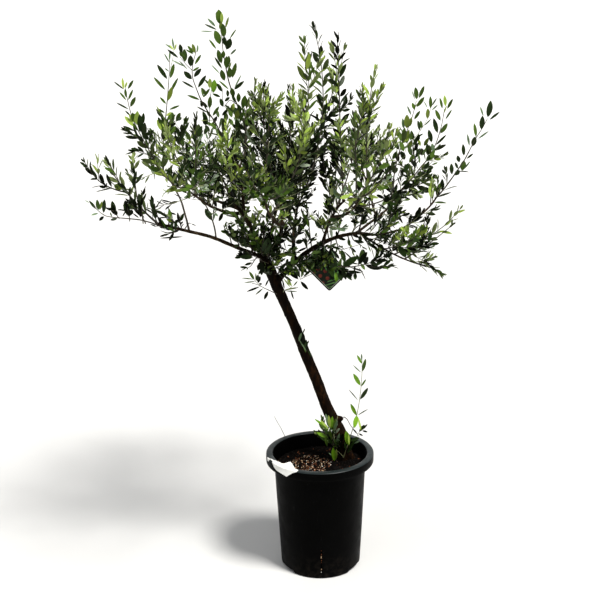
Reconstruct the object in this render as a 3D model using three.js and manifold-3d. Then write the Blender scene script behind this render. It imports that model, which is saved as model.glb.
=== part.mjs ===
// A young olive tree in a black nursery pot: leaning trunk, forked boughs, an open crown of
// upright leafy shoots, two suckers at its foot, a hanging card and a bare white tag on the rim.
// Millimetres, +Z up. The origin is the middle of the pot's flat underside; the tree leans to -X
// and the pot's label side faces -Y.
import * as THREE from 'three';
import { mergeVertices } from 'three/addons/utils/BufferGeometryUtils.js';
import Module from 'manifold-3d';

const wasm = await Module();
wasm.setup();

// ---- driving sizes -------------------------------------------------------------------------
const GAP = 0.4;              // clearance left between neighbouring pieces

const POT_HEIGHT = 299.5;     // underside to rim top
const RIM_RADIUS = 135;       // outer edge of the rolled rim
const RIM_INNER = 118.5;      // mouth of the pot
const RIM_SKIRT = 22;         // height of the turned-down rim
const WALL_TOP_RADIUS = 114.5;
const WALL_FOOT_RADIUS = 102.5;
const FOOT_RADIUS = 98;       // flat outer foot ring
const FLOOR_TOP = 12;         // inside floor of the pot
const WALL = 2.4;
const POT_SIDES = 32;
const NOTCH = { width: 54, height: 7.5, inner: 62 };        // gaps between the three feet
const SLIT = { width: 3.2, bottom: 16, top: 82 };           // drainage slit above each foot

const SOIL_TOP = 264.5;       // 35 mm below the rim

const TRUNK = { foot: [67, 38, 265], reach: [-196, -38, 532], bow: [2, 0, 11], sides: 10, rings: 16 };
// girth of the trunk as diameter at a share of its length: flare, taper, swelling under the fork
const TRUNK_GIRTH = [[0, 44], [0.04, 38], [0.1, 34], [0.18, 30], [0.28, 27], [0.45, 24.5], [0.7, 23.5], [0.88, 24.5], [1, 26]];
const STUB = { at: 0.19, side: [1, -0.15, 0.05], length: 26, root: 21, tip: 14 };   // knot of a pruned side branch

// limb: [parent, place along parent, reach from its root to its end, bow at mid-length, root and end diameter]
const LIMBS = {
  left_low: ['trunk', 1.00, [-236, -90, 103], [-1, 0, 7], 9.5, 6],
  left_high: ['trunk', 1.00, [-67, 50, 118], [6, 0, 3], 11, 8.5],
  left_arch: ['left_high', 0.96, [-219, 102, 88], [0, 0, -5], 7, 4],
  up_left: ['left_high', 0.75, [-9, -17, 129], [3, 0, 1], 8, 6],
  up_mid: ['trunk', 1.00, [30, -40, 169], [30, 0, -6], 9, 6],
  right: ['trunk', 0.87, [200, -35, 128], [-11, 0, 25], 12, 8],
  right_low: ['right', 1.00, [147, -90, -62], [-2, 0, -7], 5, 3],
  right_out: ['right', 1.00, [191, 90, 70], [10, 0, -28], 6, 4],
  right_in: ['right', 0.96, [143, 159, 101], [5, 0, -8], 6, 4],
  up_right: ['right', 0.29, [7, 75, 122], [-7, 0, 0], 8, 5],
  mid_right: ['right', 0.62, [47, -103, 118], [-7, 0, 5], 7, 4.5],
  front_left: ['left_high', 0.85, [-97, -268, 99], [0, 0, -12], 8, 4],
  front: ['up_mid', 0.55, [-37, -253, 106], [0, 0, -20], 8, 4],
  front_right: ['mid_right', 0.55, [55, -217, 84], [0, 0, -10], 6.5, 4],
  back_left: ['left_high', 0.60, [-92, 245, 104], [0, 0, -10], 8, 4],
  back: ['trunk', 1.00, [54, 285, 168], [0, 0, -15], 9, 4],
  back_right: ['right_in', 0.35, [-22, 273, 97], [0, 0, -10], 5.5, 4],
  left_tip: ['left_low', 1.00, [-151, -60, 71], [-9, 0, -16], 5, 2],
  left_rise: ['left_low', 1.00, [-123, 50, 142], [-4, 0, -3], 5, 2],
  left_fan: ['left_rise', 0.50, [-94, -35, 89], [-12, 0, -14], 3.5, 1.5],
  left_shoot: ['left_rise', 0.33, [-19, 94, 111], [-4, 0, -1], 3, 1.5],
  left_nub: ['left_low', 1.00, [-15, 20, 61], [-3, 0, -1], 3, 1.5],
  spire_a: ['left_low', 0.71, [-147, 84, 342], [-3, 0, -1], 5, 1.5],
  thin_a: ['left_low', 0.46, [-100, 21, 159], [20, 0, 12], 4, 2],
  spire_b: ['left_arch', 0.85, [20, 25, 284], [-2, 0, 2], 4, 1.5],
  spire_c: ['up_left', 0.96, [-92, -121, 274], [-16, 0, 0], 4.5, 1.5],
  spire_cl: ['spire_c', 0.79, [-51, -46, 69], [-5, 0, -3], 2, 1],
  shoot_c2: ['spire_c', 0.27, [-19, -9, 129], [-15, 0, -1], 2.5, 1],
  shoot_c3: ['front_left', 0.40, [20, -85, 268], [18, 0, 4], 3, 1],
  spire_d: ['up_left', 0.96, [-38, 29, 354], [5, 0, 3], 5.5, 1.5],
  top_e1: ['back_left', 0.73, [84, -9, 272], [19, 0, -3], 4, 1.5],
  top_e2: ['up_mid', 0.97, [-18, -61, 256], [-14, 0, 2], 4, 1.5],
  top_f1: ['up_mid', 0.95, [29, 88, 244], [15, 0, -2], 4, 1.5],
  top_f2: ['front', 0.64, [66, 54, 267], [31, 0, -6], 4, 1.5],
  spire_g: ['up_right', 0.96, [40, 73, 432], [40, 0, -1], 5, 1.5],
  spire_g2: ['up_right', 0.82, [35, -36, 379], [8, 0, 5], 4, 1.5],
  spire_h: ['mid_right', 0.95, [-13, -5, 367], [0, 0, 4], 4.5, 1.5],
  spire_i: ['back_right', 0.55, [22, 23, 307], [-12, 0, 3], 4.5, 1.5],
  spire_i2: ['mid_right', 0.68, [73, 57, 246], [7, 0, -2], 4, 1.5],
  spire_j: ['right_in', 0.59, [73, 55, 272], [-10, 0, 3], 4, 1.5],
  spire_j2: ['right_in', 0.75, [63, -71, 234], [4, 0, 2], 4, 1.5],
  spire_k: ['right_in', 0.94, [104, 79, 201], [19, 0, -9], 4, 1.5],
  right_long: ['right_out', 0.97, [128, -27, 226], [6, 0, -1], 4, 1.5],
  right_m: ['right_in', 0.91, [92, 104, 8], [1, 0, -6], 3, 1.5],
  right_tip: ['right_low', 0.83, [58, -45, -24], [2, 0, 4], 3, 1.5],
  right_n1: ['right_low', 0.69, [97, -98, 102], [4, 0, -2], 3, 1.5],
  right_n2: ['right_low', 0.54, [161, 29, 107], [10, 0, -13], 3, 1.5],
  right_c: ['right_low', 0.39, [70, -155, 82], [7, 0, -9], 3, 1.5],
  low_twig: ['right', 0.40, [192, -171, 41], [4, 0, -32], 4, 1.5],
  right_up: ['right_out', 0.26, [-5, 7, 151], [22, 0, 1], 4, 1.5],
  right_up2: ['right', 0.98, [-18, -71, 180], [21, 0, 4], 4, 1.5],
  shoot_l: ['trunk', 0.81, [-81, -47, 46], [1, 0, 4], 2.5, 1],
  shoot_r: ['trunk', 0.83, [57, -56, 27], [0, 0, 0], 2.5, 1],
  front_a1: ['front_left', 1.00, [-55, -110, 77], [0, 0, -12], 4, 1.5],
  front_a2: ['front_left', 0.85, [15, -85, 188], [0, -20, 0], 4, 1.5],
  front_a3: ['front_left', 0.60, [-89, -32, 188], [-20, 0, 0], 4, 1.5],
  front_a4: ['front_left', 1.00, [45, -160, 52], [0, 0, -12], 4, 1.5],
  front_b1: ['front', 1.00, [-30, -140, 95], [0, -10, -14], 4, 1.5],
  front_b2: ['front', 0.90, [16, -70, 198], [0, -25, 0], 4, 1.5],
  front_b4: ['front', 0.95, [63, -133, 54], [0, 0, -12], 4, 1.5],
  front_c1: ['front_right', 1.00, [60, -100, 85], [0, 0, -12], 4, 1.5],
  front_c2: ['front_right', 0.85, [-12, -72, 193], [0, -25, 0], 4, 1.5],
  front_c3: ['front_right', 0.50, [93, -18, 192], [20, 0, 0], 4, 1.5],
  front_c4: ['front_right', 0.95, [-42, -125, 57], [0, 0, -12], 4, 1.5],
  front_c5: ['front_right', 0.70, [122, -45, 54], [0, 0, -12], 4, 1.5],
  back_a1: ['back_left', 1.00, [-75, 105, 105], [0, 0, -12], 4, 1.5],
  back_a2: ['back_left', 0.90, [1, 60, 219], [0, 20, 0], 4, 1.5],
  back_a4: ['back_left', 1.00, [55, 145, 65], [0, 0, -12], 4, 1.5],
  back_a5: ['back_left', 0.70, [-142, 49, 160], [-15, 0, -12], 4, 1.5],
  back_b1: ['back', 1.00, [-20, 145, 130], [0, 10, -14], 4, 1.5],
  back_b2: ['back', 0.90, [25, 53, 247], [0, 25, 0], 4, 1.5],
  back_b3: ['back', 0.60, [-23, 44, 297], [0, 15, 0], 4, 1.5],
  back_b4: ['back', 0.95, [63, 144, 66], [0, 0, -12], 4, 1.5],
  back_c1: ['back_right', 1.00, [85, 100, 95], [0, 0, -12], 4, 1.5],
  back_c2: ['back_right', 0.90, [3, 72, 214], [0, 20, 0], 4, 1.5],
  back_c3: ['back', 0.75, [134, 11, 278], [25, 0, 0], 4, 1.5],
  back_c4: ['back_right', 1.00, [-10, 130, 45], [0, 0, -12], 4, 1.5],
  back_c5: ['back_right', 0.70, [133, 72, 138], [15, 10, -12], 4, 1.5],
  // basal suckers
  sucker_tall: ['trunk', 0.03, [39, -22, 279], [11, 0, 2], 5, 2],
  sucker_short: ['trunk', 0.03, [-55, -48, 122], [-14, 0, -20], 4.5, 2],
};

// boughs that are solids of their own
const BOUGHS = ['left_low', 'left_high', 'left_arch', 'up_left', 'up_mid', 'right', 'right_low', 'right_out',
  'right_in', 'up_right', 'mid_right', 'front_left', 'front', 'front_right', 'back_left', 'back', 'back_right'];

// masses of foliage: each lobe follows a limb between two shares of its length,
// [limb, from, to, radius at its root, radius at its tip]
const MASSES = {
  left_tip: [['left_tip', 0.1, 1.05, 25, 24]],
  left_upper: [['left_rise', 0.05, 1.06, 27, 24], ['left_fan', 0, 1.08, 24, 24], ['left_shoot', 0, 1.08, 24, 22], ['left_nub', 0, 1.1, 18, 16]],
  spire_a: [['spire_a', 0.3, 1.02, 32, 21]],
  left_arch: [['left_arch', 0.3, 1.1, 38, 34]],
  spire_b: [['spire_b', 0, 1.03, 40, 20]],
  spire_c: [['spire_c', 0, 1.02, 42, 22], ['spire_cl', 0, 1.05, 18, 16], ['shoot_c2', 0.1, 1.04, 28, 20]],
  spire_d: [['up_left', 0.2, 1, 20, 30], ['spire_d', 0, 1.0, 44, 29]],
  top_left: [['top_e1', 0.1, 1.03, 45, 30]],
  top_middle: [['up_mid', 0.45, 1, 22, 30], ['top_e2', 0, 1.03, 46, 30], ['top_f1', 0, 1.03, 44, 28]],
  spire_g: [['spire_g', 0.1, 1.02, 46, 30], ['spire_g2', 0, 1.02, 42, 24]],
  spire_h: [['spire_h', 0, 1.02, 42, 24]],
  spire_i: [['spire_i', 0, 1.02, 46, 20]],
  right_up: [['mid_right', 0.4, 1, 22, 30], ['spire_i2', 0, 1.05, 42, 34], ['right_up2', 0.35, 1.05, 32, 28]],
  spire_j: [['spire_j', 0, 1.03, 38, 24], ['spire_j2', 0, 1.04, 34, 20]],
  spire_k: [['spire_k', 0, 1.04, 38, 22], ['right_m', 0, 1.08, 26, 22]],
  right_inner: [['right_up', 0.1, 1.1, 34, 34]],
  right_long: [['right_long', -0.1, 1.03, 24, 16]],
  right_front: [['right_n1', 0.15, 1.04, 30, 20], ['right_c', 0.05, 1.08, 30, 26], ['right_n2', 0.05, 1.04, 34, 18], ['right_low', 0.45, 0.85, 20, 20]],
  right_tip: [['right_tip', 0.1, 1.08, 20, 18]],
  low_twig: [['low_twig', 0.3, 1.04, 30, 26]],
  shoot_left: [['shoot_l', 0.2, 1.1, 20, 22]],
  shoot_right: [['shoot_r', 0.15, 1.1, 18, 18]],
  front_left_top: [['front_left', 0.4, 1, 28, 28], ['front_a2', 0, 1.05, 38, 28], ['front_a3', 0, 1.05, 38, 28], ['shoot_c3', 0, 1.03, 36, 22]],
  front_left: [['front_a1', 0, 1.05, 42, 30], ['front_a4', 0, 1.05, 40, 30]],
  front_top: [['front', 0.5, 1, 28, 28], ['front_b2', 0, 1.05, 38, 28], ['top_f2', 0, 1.03, 42, 26]],
  front: [['front_b1', 0, 1.05, 42, 30], ['front_b4', 0, 1.05, 38, 28]],
  front_right_top: [['front_right', 0.4, 1, 28, 28], ['front_c2', 0, 1.05, 38, 28], ['front_c3', 0, 1.05, 38, 28], ['front_c5', 0, 1.05, 34, 28]],
  front_right: [['front_c1', 0, 1.05, 42, 30], ['front_c4', 0, 1.05, 38, 30]],
  back_left_top: [['back_left', 0.6, 1, 28, 28], ['back_a2', 0, 1.05, 42, 28], ['back_a5', 0, 1.05, 38, 30]],
  back_left: [['back_a1', 0, 1.05, 42, 30], ['back_a4', 0, 1.05, 40, 30]],
  back_top: [['back', 0.55, 1, 28, 28], ['back_b2', 0, 1.05, 42, 28], ['back_b3', 0, 1.05, 42, 28], ['back_c3', 0, 1.05, 42, 28]],
  back: [['back_b1', 0, 1.05, 42, 30], ['back_b4', 0, 1.05, 38, 30]],
  back_right_top: [['back_right', 0.6, 1, 28, 28], ['back_c2', 0, 1.05, 42, 28], ['back_c5', 0, 1.05, 38, 26]],
  back_right: [['back_c1', 0, 1.05, 42, 30], ['back_c4', 0, 1.05, 38, 30]],
};
const SUCKERS = {
  sucker_tall: [['sucker_tall', 0.22, 1.03, 24, 17]],
  sucker_short: [['sucker_short', 0.4, 1.12, 27, 24]],
};

const CARD = { wide: 65, tall: 95, thick: 1, corner: 5, hole: 3, centre: [15, -50, 784], tilt: 43.8, lean: 5 };
const TAG = { centreDeg: 227, halfDeg: 11, thick: 0.9, outside: 13, inside: 9, steps: 6 };

// ---- small helpers -------------------------------------------------------------------------
const V = (a) => new THREE.Vector3(...a);
const mix = (a, b, t) => a + (b - a) * t;
function noise(seed, i, j) {          // repeatable number from 0 to 1
  let h = Math.imul(seed * 374761 + i * 668265 + j * 69069 + 12345, 2654435761);
  h ^= h >>> 15; h = Math.imul(h, 2246822519); h ^= h >>> 13;
  return (h >>> 0) / 4294967296;
}
function seedOf(name) { let s = 7; for (const c of name) s = (s * 31 + c.charCodeAt(0)) % 99991; return s; }
function along(table, t) {            // value of a [place, value] table at t
  for (let i = 1; i < table.length; i++) {
    if (t <= table[i][0]) return mix(table[i - 1][1], table[i][1], (t - table[i - 1][0]) / (table[i][0] - table[i - 1][0]));
  }
  return table[table.length - 1][1];
}

// ---- limbs as curves -----------------------------------------------------------------------
const curves = {};
function curve(name) {
  if (curves[name]) return curves[name];
  let root, reach, bow, d0, d1;
  if (name === 'trunk') { root = V(TRUNK.foot); reach = V(TRUNK.reach); bow = V(TRUNK.bow); d0 = 30; d1 = 25; }
  else {
    const [parent, place, r, b, da, db] = LIMBS[name];
    root = curve(parent).at(place); reach = V(r); bow = V(b); d0 = da; d1 = db;
  }
  const at = (t) => {
    const s = Math.min(Math.max(t, 0), 1);
    const p = root.clone().addScaledVector(reach, s).addScaledVector(bow, 4 * s * (1 - s));
    if (t !== s) p.addScaledVector(reach.clone().addScaledVector(bow, 4 * (1 - 2 * s)), t - s);
    return p;
  };
  const heading = (t) => reach.clone().addScaledVector(bow, 4 * (1 - 2 * Math.min(Math.max(t, 0), 1))).normalize();
  return (curves[name] = { at, heading, length: reach.length(), root, d0, d1 });
}

// ---- closed skins --------------------------------------------------------------------------
// skin through rings of equal count, closed by a point at each end
function skin(first, rings, last) {
  const n = rings[0].length, pos = [...first.toArray()];
  for (const ring of rings) for (const p of ring) pos.push(p.x, p.y, p.z);
  pos.push(...last.toArray());
  const idx = [], end = 1 + rings.length * n;
  for (let j = 0; j < n; j++) {
    const k = (j + 1) % n;
    idx.push(0, 1 + k, 1 + j);
    for (let i = 0; i + 1 < rings.length; i++) {
      const a = 1 + i * n + j, b = 1 + i * n + k;
      idx.push(a, b, b + n, a, b + n, a + n);
    }
    idx.push(end, end - n + j, end - n + k);
  }
  const g = new THREE.BufferGeometry();
  g.setAttribute('position', new THREE.Float32BufferAttribute(pos, 3));
  g.setIndex(idx);
  return g;
}
function frameAt(dir, ref) {          // two directions square to dir
  const u = new THREE.Vector3().crossVectors(ref, dir).normalize();
  return [u, new THREE.Vector3().crossVectors(dir, u)];
}
function ring(c, dir, ref, n, radius) {
  const [u, v] = frameAt(dir, ref), pts = [];
  for (let j = 0; j < n; j++) {
    const a = (j / n) * Math.PI * 2, r = radius(j, a);
    pts.push(c.clone().addScaledVector(u, Math.cos(a) * r).addScaledVector(v, Math.sin(a) * r));
  }
  return pts;
}
const REF = new THREE.Vector3(0.31, 0.93, 0.2).normalize();

// tapering limb with blunt ends
function limbSkin(name, grow = 0, upTo = 1) {
  const c = curve(name), n = 5, count = Math.max(3, Math.round(c.length / 60)), rings = [];
  for (let i = 0; i <= count; i++) {
    const t = (i / count) * upTo;
    const r = mix(c.d0, c.d1, t) / 2 * (1 + 0.35 * Math.max(0, 1 - t * c.length / 16)) + grow;
    rings.push(ring(c.at(t), c.heading(t), REF, n, () => r));
  }
  const back = c.at(0).addScaledVector(c.heading(0), -1 - grow), tip = c.at(upTo).addScaledVector(c.heading(upTo), 1.5 + grow);
  return skin(back, rings, tip);
}
// one uneven lobe of foliage round a stretch of limb
function lobeSkin([name, t0, t1, r0, r1], seed, grow = 0) {
  const c = curve(name), n = 6, span = (t1 - t0) * c.length;
  const places = span > 190 ? [0.06, 0.28, 0.52, 0.77, 0.95] : [0.08, 0.45, 0.9], rings = [];
  places.forEach((u, i) => {
    const t = mix(t0, t1, u), round = Math.sqrt(1 - Math.abs(2 * u - 1) ** 3);
    const mid = c.at(t), dir = c.heading(t), [a, b] = frameAt(dir, REF), r = mix(r0, r1, u) * round;
    mid.addScaledVector(a, (noise(seed, i, 91) - 0.5) * 0.35 * r).addScaledVector(b, (noise(seed, i, 92) - 0.5) * 0.35 * r);
    rings.push(ring(mid, dir, REF, n, (j) => r * (0.82 + 0.42 * noise(seed, i, j)) + grow));
  });
  return skin(c.at(t0).addScaledVector(c.heading(t0), -grow), rings, c.at(t1).addScaledVector(c.heading(t1), grow));
}

// ---- solids for joining and cutting ----------------------------------------------------------
function solid(geometry) {
  const g = geometry.clone();
  g.deleteAttribute('normal'); g.deleteAttribute('uv');
  const m = mergeVertices(g, 1e-4), p = m.attributes.position.array, all = m.index.array, tri = [];
  for (let i = 0; i < all.length; i += 3) {
    if (all[i] !== all[i + 1] && all[i + 1] !== all[i + 2] && all[i] !== all[i + 2]) tri.push(all[i], all[i + 1], all[i + 2]);
  }
  const make = (t) => new wasm.Manifold(new wasm.Mesh({ numProp: 3, vertProperties: new Float32Array(p), triVerts: new Uint32Array(t) }));
  let s = make(tri);
  if (s.volume() < 0) { for (let i = 0; i < tri.length; i += 3) [tri[i], tri[i + 1]] = [tri[i + 1], tri[i]]; s = make(tri); }
  return s;
}
const joined = (list) => list.reduce((a, b) => a.add(b));
// geometry of the largest connected piece of a solid
function largest(s) {
  const mesh = s.getMesh(), tri = mesh.triVerts, np = mesh.numProp, parent = [];
  const count = mesh.vertProperties.length / np;
  for (let i = 0; i < count; i++) parent.push(i);
  const find = (i) => { while (parent[i] !== i) { parent[i] = parent[parent[i]]; i = parent[i]; } return i; };
  for (let i = 0; i < tri.length; i += 3) { parent[find(tri[i])] = find(tri[i + 1]); parent[find(tri[i + 1])] = find(tri[i + 2]); }
  const P = (i) => new THREE.Vector3(mesh.vertProperties[i * np], mesh.vertProperties[i * np + 1], mesh.vertProperties[i * np + 2]);
  const volume = new Map();
  for (let i = 0; i < tri.length; i += 3) {
    const k = find(tri[i]), v = P(tri[i]).dot(P(tri[i + 1]).cross(P(tri[i + 2]))) / 6;
    volume.set(k, (volume.get(k) || 0) + v);
  }
  const best = [...volume.entries()].sort((a, b) => b[1] - a[1])[0][0];
  const number = new Map(), pos = [], idx = [];
  for (let i = 0; i < tri.length; i++) {
    if (find(tri[i - (i % 3)]) !== best) continue;
    if (!number.has(tri[i])) { number.set(tri[i], pos.length / 3); pos.push(...P(tri[i]).toArray()); }
    idx.push(number.get(tri[i]));
  }
  const g = new THREE.BufferGeometry();
  g.setAttribute('position', new THREE.Float32BufferAttribute(pos, 3));
  g.setIndex(idx);
  return g;
}

// ---- the pot, its soil -----------------------------------------------------------------------
function lathe(profile, sides) {      // profile of [radius, height], from the axis back to the axis
  const g = new THREE.LatheGeometry(profile.map(([r, z]) => new THREE.Vector2(r, z)), sides);
  return g.rotateX(Math.PI / 2);
}
const wallInner = (z) => mix(WALL_FOOT_RADIUS, WALL_TOP_RADIUS, (z - 35) / (272 - 35)) - WALL;
function potSolid() {
  const top = POT_HEIGHT, skirt = top - RIM_SKIRT;
  let pot = solid(lathe([
    [0, 0], [30, 0], [34, 8.5], [60, 8.5], [64, 0], [FOOT_RADIUS, 0], [100.6, 2.8], [101.4, 12],
    [WALL_FOOT_RADIUS, 35], [WALL_TOP_RADIUS, 272], [120.6, top - 3.6], [RIM_RADIUS - 3.4, top - 3.4],
    [RIM_RADIUS - 3, skirt], [RIM_RADIUS - 0.2, skirt], [RIM_RADIUS, top - 1.5], [RIM_RADIUS - 1.5, top],
    [RIM_INNER, top], [wallInner(272), 271], [wallInner(35), 35], [96.5, FLOOR_TOP], [0, FLOOR_TOP],
  ], POT_SIDES));
  const cuts = [];
  for (let k = 0; k < 3; k++) {
    const notch = new THREE.BoxGeometry(60, NOTCH.width, NOTCH.height * 2);
    notch.translate(NOTCH.inner + 30, 0, 0);
    notch.rotateZ(Math.PI / 2 + k * 2 * Math.PI / 3);
    const slit = new THREE.BoxGeometry(20, SLIT.width, SLIT.top - SLIT.bottom);
    slit.translate(104, 0, (SLIT.top + SLIT.bottom) / 2);
    slit.rotateZ(-Math.PI / 2 + k * 2 * Math.PI / 3);
    cuts.push(solid(notch), solid(slit));
  }
  for (const cut of cuts) pot = pot.subtract(cut);
  return pot;
}
function soilSolid() {
  const low = FLOOR_TOP + 0.4, edge = (z) => wallInner(z) - 0.5;
  const g = lathe([[0, low], [95.5, low], [edge(36), 36], [edge(SOIL_TOP - 2), SOIL_TOP - 2], [100, SOIL_TOP], [0, SOIL_TOP]], POT_SIDES);
  return g;
}

// ---- the trunk: flare, taper, lean and a pruned stub -------------------------------------------
function trunkGeometry(grow = 0) {
  const c = curve('trunk'), rings = [], n = TRUNK.sides;
  for (let i = 0; i <= TRUNK.rings; i++) {
    const t = (i / TRUNK.rings) ** 1.25, base = along(TRUNK_GIRTH, t) / 2;
    const flare = Math.max(0, 1 - t * c.length / 26);
    const dir = c.heading(t).lerp(new THREE.Vector3(0, 0, 1), flare).normalize();
    const pts = ring(c.at(t), dir, REF, n, (j, a) =>
      base * (1 + 0.05 * Math.sin(3 * a + 9 * t) + flare * 0.14 * Math.cos(4 * a + 1) + 0.04 * (noise(5, i, j) - 0.5)) + grow);
    if (i === 0) for (const p of pts) p.z = TRUNK.foot[2] - grow;
    rings.push(pts);
  }
  const foot = V(TRUNK.foot); foot.z -= grow;
  return skin(foot, rings, c.at(1).addScaledVector(c.heading(1), 5 + grow));
}
function stubGeometry(grow = 0) {
  const root = curve('trunk').at(STUB.at), dir = V(STUB.side).normalize(), rings = [];
  for (const [s, d] of [[0, STUB.root], [0.55, mix(STUB.root, STUB.tip, 0.4)], [1, STUB.tip]]) {
    rings.push(ring(root.clone().addScaledVector(dir, s * STUB.length), dir, REF, 8, () => d / 2 + grow));
  }
  return skin(root.clone().addScaledVector(dir, -1), rings, root.clone().addScaledVector(dir, STUB.length + 0.8 + grow));
}

// ---- card hanging under the right bough, and the bare tag folded over the rim ------------------
function cardGeometry(grow = 0) {
  const w = CARD.wide / 2 + grow, h = CARD.tall / 2 + grow, r = CARD.corner, s = new THREE.Shape();
  s.moveTo(-w + r, -h); s.lineTo(w - r, -h); s.quadraticCurveTo(w, -h, w, -h + r);
  s.lineTo(w, h - r); s.quadraticCurveTo(w, h, w - r, h);
  s.lineTo(-w + r, h); s.quadraticCurveTo(-w, h, -w, h - r);
  s.lineTo(-w, -h + r); s.quadraticCurveTo(-w, -h, -w + r, -h);
  if (!grow) { const hole = new THREE.Path(); hole.absarc(w - 8, h - 8, CARD.hole, 0, Math.PI * 2, true); s.holes.push(hole); }
  const depth = CARD.thick + 2 * grow;
  const g = new THREE.ExtrudeGeometry(s, { depth, bevelEnabled: false, curveSegments: 4 });
  return g.translate(0, 0, -depth / 2);
}
function placeCard(o) {               // stands upright facing -Y, turned so that a corner points down
  o.position.set(...CARD.centre);
  o.rotation.order = 'ZXY';
  o.rotation.set(Math.PI / 2 - THREE.MathUtils.degToRad(CARD.lean), 0, 0);
  o.rotateZ(THREE.MathUtils.degToRad(CARD.tilt));
  o.updateMatrix();
  return o;
}
function tagGeometry() {              // a U of sheet over the rim, swept round part of it
  const top = POT_HEIGHT, t = TAG.thick, g = 0.35, rings = [];
  const section = (drop) => {
    const out = RIM_RADIUS + 0.5, mouth = RIM_INNER - 0.8, low = mouth - TAG.inside * 0.24;
    const outer = [[low - t, top - TAG.inside], [mouth - t, top + g + t], [out + t, top + g + t], [out + t, top - drop]];
    const inner = [[out, top - drop], [out, top + g], [mouth, top + g], [low, top - TAG.inside]];
    return [...outer, ...inner];
  };
  for (let i = 0; i <= TAG.steps; i++) {
    const u = i / TAG.steps, a = THREE.MathUtils.degToRad(TAG.centreDeg + mix(-TAG.halfDeg, TAG.halfDeg, u));
    const drop = TAG.outside * (0.35 + 0.65 * (1 - Math.abs(2 * u - 1.1) / 1.1));
    rings.push(section(drop).map(([r, z]) => new THREE.Vector3(r * Math.cos(a), r * Math.sin(a), z)));
  }
  const pos = [], idx = [], n = 8;
  for (const r of rings) for (const p of r) pos.push(p.x, p.y, p.z);
  for (let i = 0; i + 1 < rings.length; i++) {
    for (let j = 0; j < n; j++) { const a = i * n + j, b = i * n + (j + 1) % n; idx.push(a, b + n, a + n, a, b, b + n); }
  }
  const cap = [[0, 1, 7], [1, 6, 7], [1, 2, 6], [2, 5, 6], [2, 3, 5], [3, 4, 5]], e = (rings.length - 1) * n;
  for (const [a, b, c] of cap) { idx.push(a, c, b); idx.push(e + a, e + b, e + c); }
  const geo = new THREE.BufferGeometry();
  geo.setAttribute('position', new THREE.Float32BufferAttribute(pos, 3));
  geo.setIndex(idx);
  return geo;
}

// ---- colours -----------------------------------------------------------------------------------
const paint = (color, roughness, metalness = 0) => new THREE.MeshStandardMaterial({ color, roughness, metalness });
const PLASTIC = paint(0x15181a, 0.5), SOIL = paint(0x4a3626, 0.95), BARK = paint(0x33261d, 0.9);
const LEAF = [paint(0x47562f, 0.6), paint(0x55663a, 0.6), paint(0x3b4a2c, 0.6)];
const CARD_PAINT = paint(0x2f4a2a, 0.35), TAG_PAINT = paint(0xf2f2ee, 0.6);

// ---- assembly ------------------------------------------------------------------------------------
const tree = new THREE.Group();
function put(name, geometry, material, origin) {
  const mesh = new THREE.Mesh(geometry, material);
  mesh.name = name;
  if (origin) { geometry.translate(-origin.x, -origin.y, -origin.z); mesh.position.copy(origin); }
  tree.add(mesh);
  return mesh;
}
const reachOf = (s) => { const b = s.boundingBox(); return new THREE.Box3(V(b.min), V(b.max)); };

put('pot', largest(potSolid()), PLASTIC);
put('soil', soilSolid(), SOIL);

const trunk = solid(trunkGeometry()).add(solid(stubGeometry()));
const trunkRoom = solid(trunkGeometry(GAP * 1.5)).add(solid(stubGeometry(GAP * 1.5)));
put('trunk', largest(trunk), BARK, curve('trunk').root);

const card = placeCard(new THREE.Mesh(cardGeometry(), CARD_PAINT));
card.name = 'picture_card';
const cardRoom = solid(cardGeometry(0.8).applyMatrix4(card.matrix));

const taken = [{ room: trunkRoom, box: reachOf(trunkRoom) }, { room: cardRoom, box: reachOf(cardRoom) }];
const masses = [];
for (const [name, lobes] of [...Object.entries(MASSES), ...Object.entries(SUCKERS)]) {
  const seed = seedOf(name);
  let s = joined(lobes.map((l, i) => solid(lobeSkin(l, seed + i))));
  const room = joined(lobes.map((l, i) => solid(lobeSkin(l, seed + i, GAP * 1.8))));
  const box = reachOf(s);
  for (const t of taken) if (t.box.intersectsBox(box)) s = s.subtract(t.room);
  const piece = largest(s);
  masses.push({ name, piece, room, root: curve(lobes[0][0]).at(lobes[0][1]) });
  taken.push({ room, box: reachOf(room) });
}
const limbRooms = [{ room: trunkRoom, box: reachOf(trunkRoom) }, { room: cardRoom, box: reachOf(cardRoom) }];
for (const name of [...BOUGHS, 'sucker_tall', 'sucker_short']) {
  let s = solid(limbSkin(name));
  const box = reachOf(s);
  for (const t of limbRooms) if (t.box.intersectsBox(box)) s = s.subtract(t.room);
  for (const t of taken) if (t.box.intersectsBox(box)) s = s.subtract(t.room);
  const room = solid(limbSkin(name, GAP * 1.8));
  limbRooms.push({ room, box: reachOf(room) });
  put(BOUGHS.includes(name) ? 'bough_' + name : name + '_stem', largest(s), BARK, curve(name).root);
}
masses.forEach(({ name, piece, root }, i) => put('mass_' + name, piece, LEAF[i % 3], root));
put('rim_tag', tagGeometry(), TAG_PAINT);
tree.add(card);

export default tree;
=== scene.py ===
"""Looks of a potted olive tree: bark-relief trunk and boughs, seeded twigs and leaves grown on from
the limbs, a moulded nursery pot with its soil, a bare paper tag and a small hanging card."""
import math

import bpy
import numpy as np
from mathutils import Matrix, Vector, kdtree, noise


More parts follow.
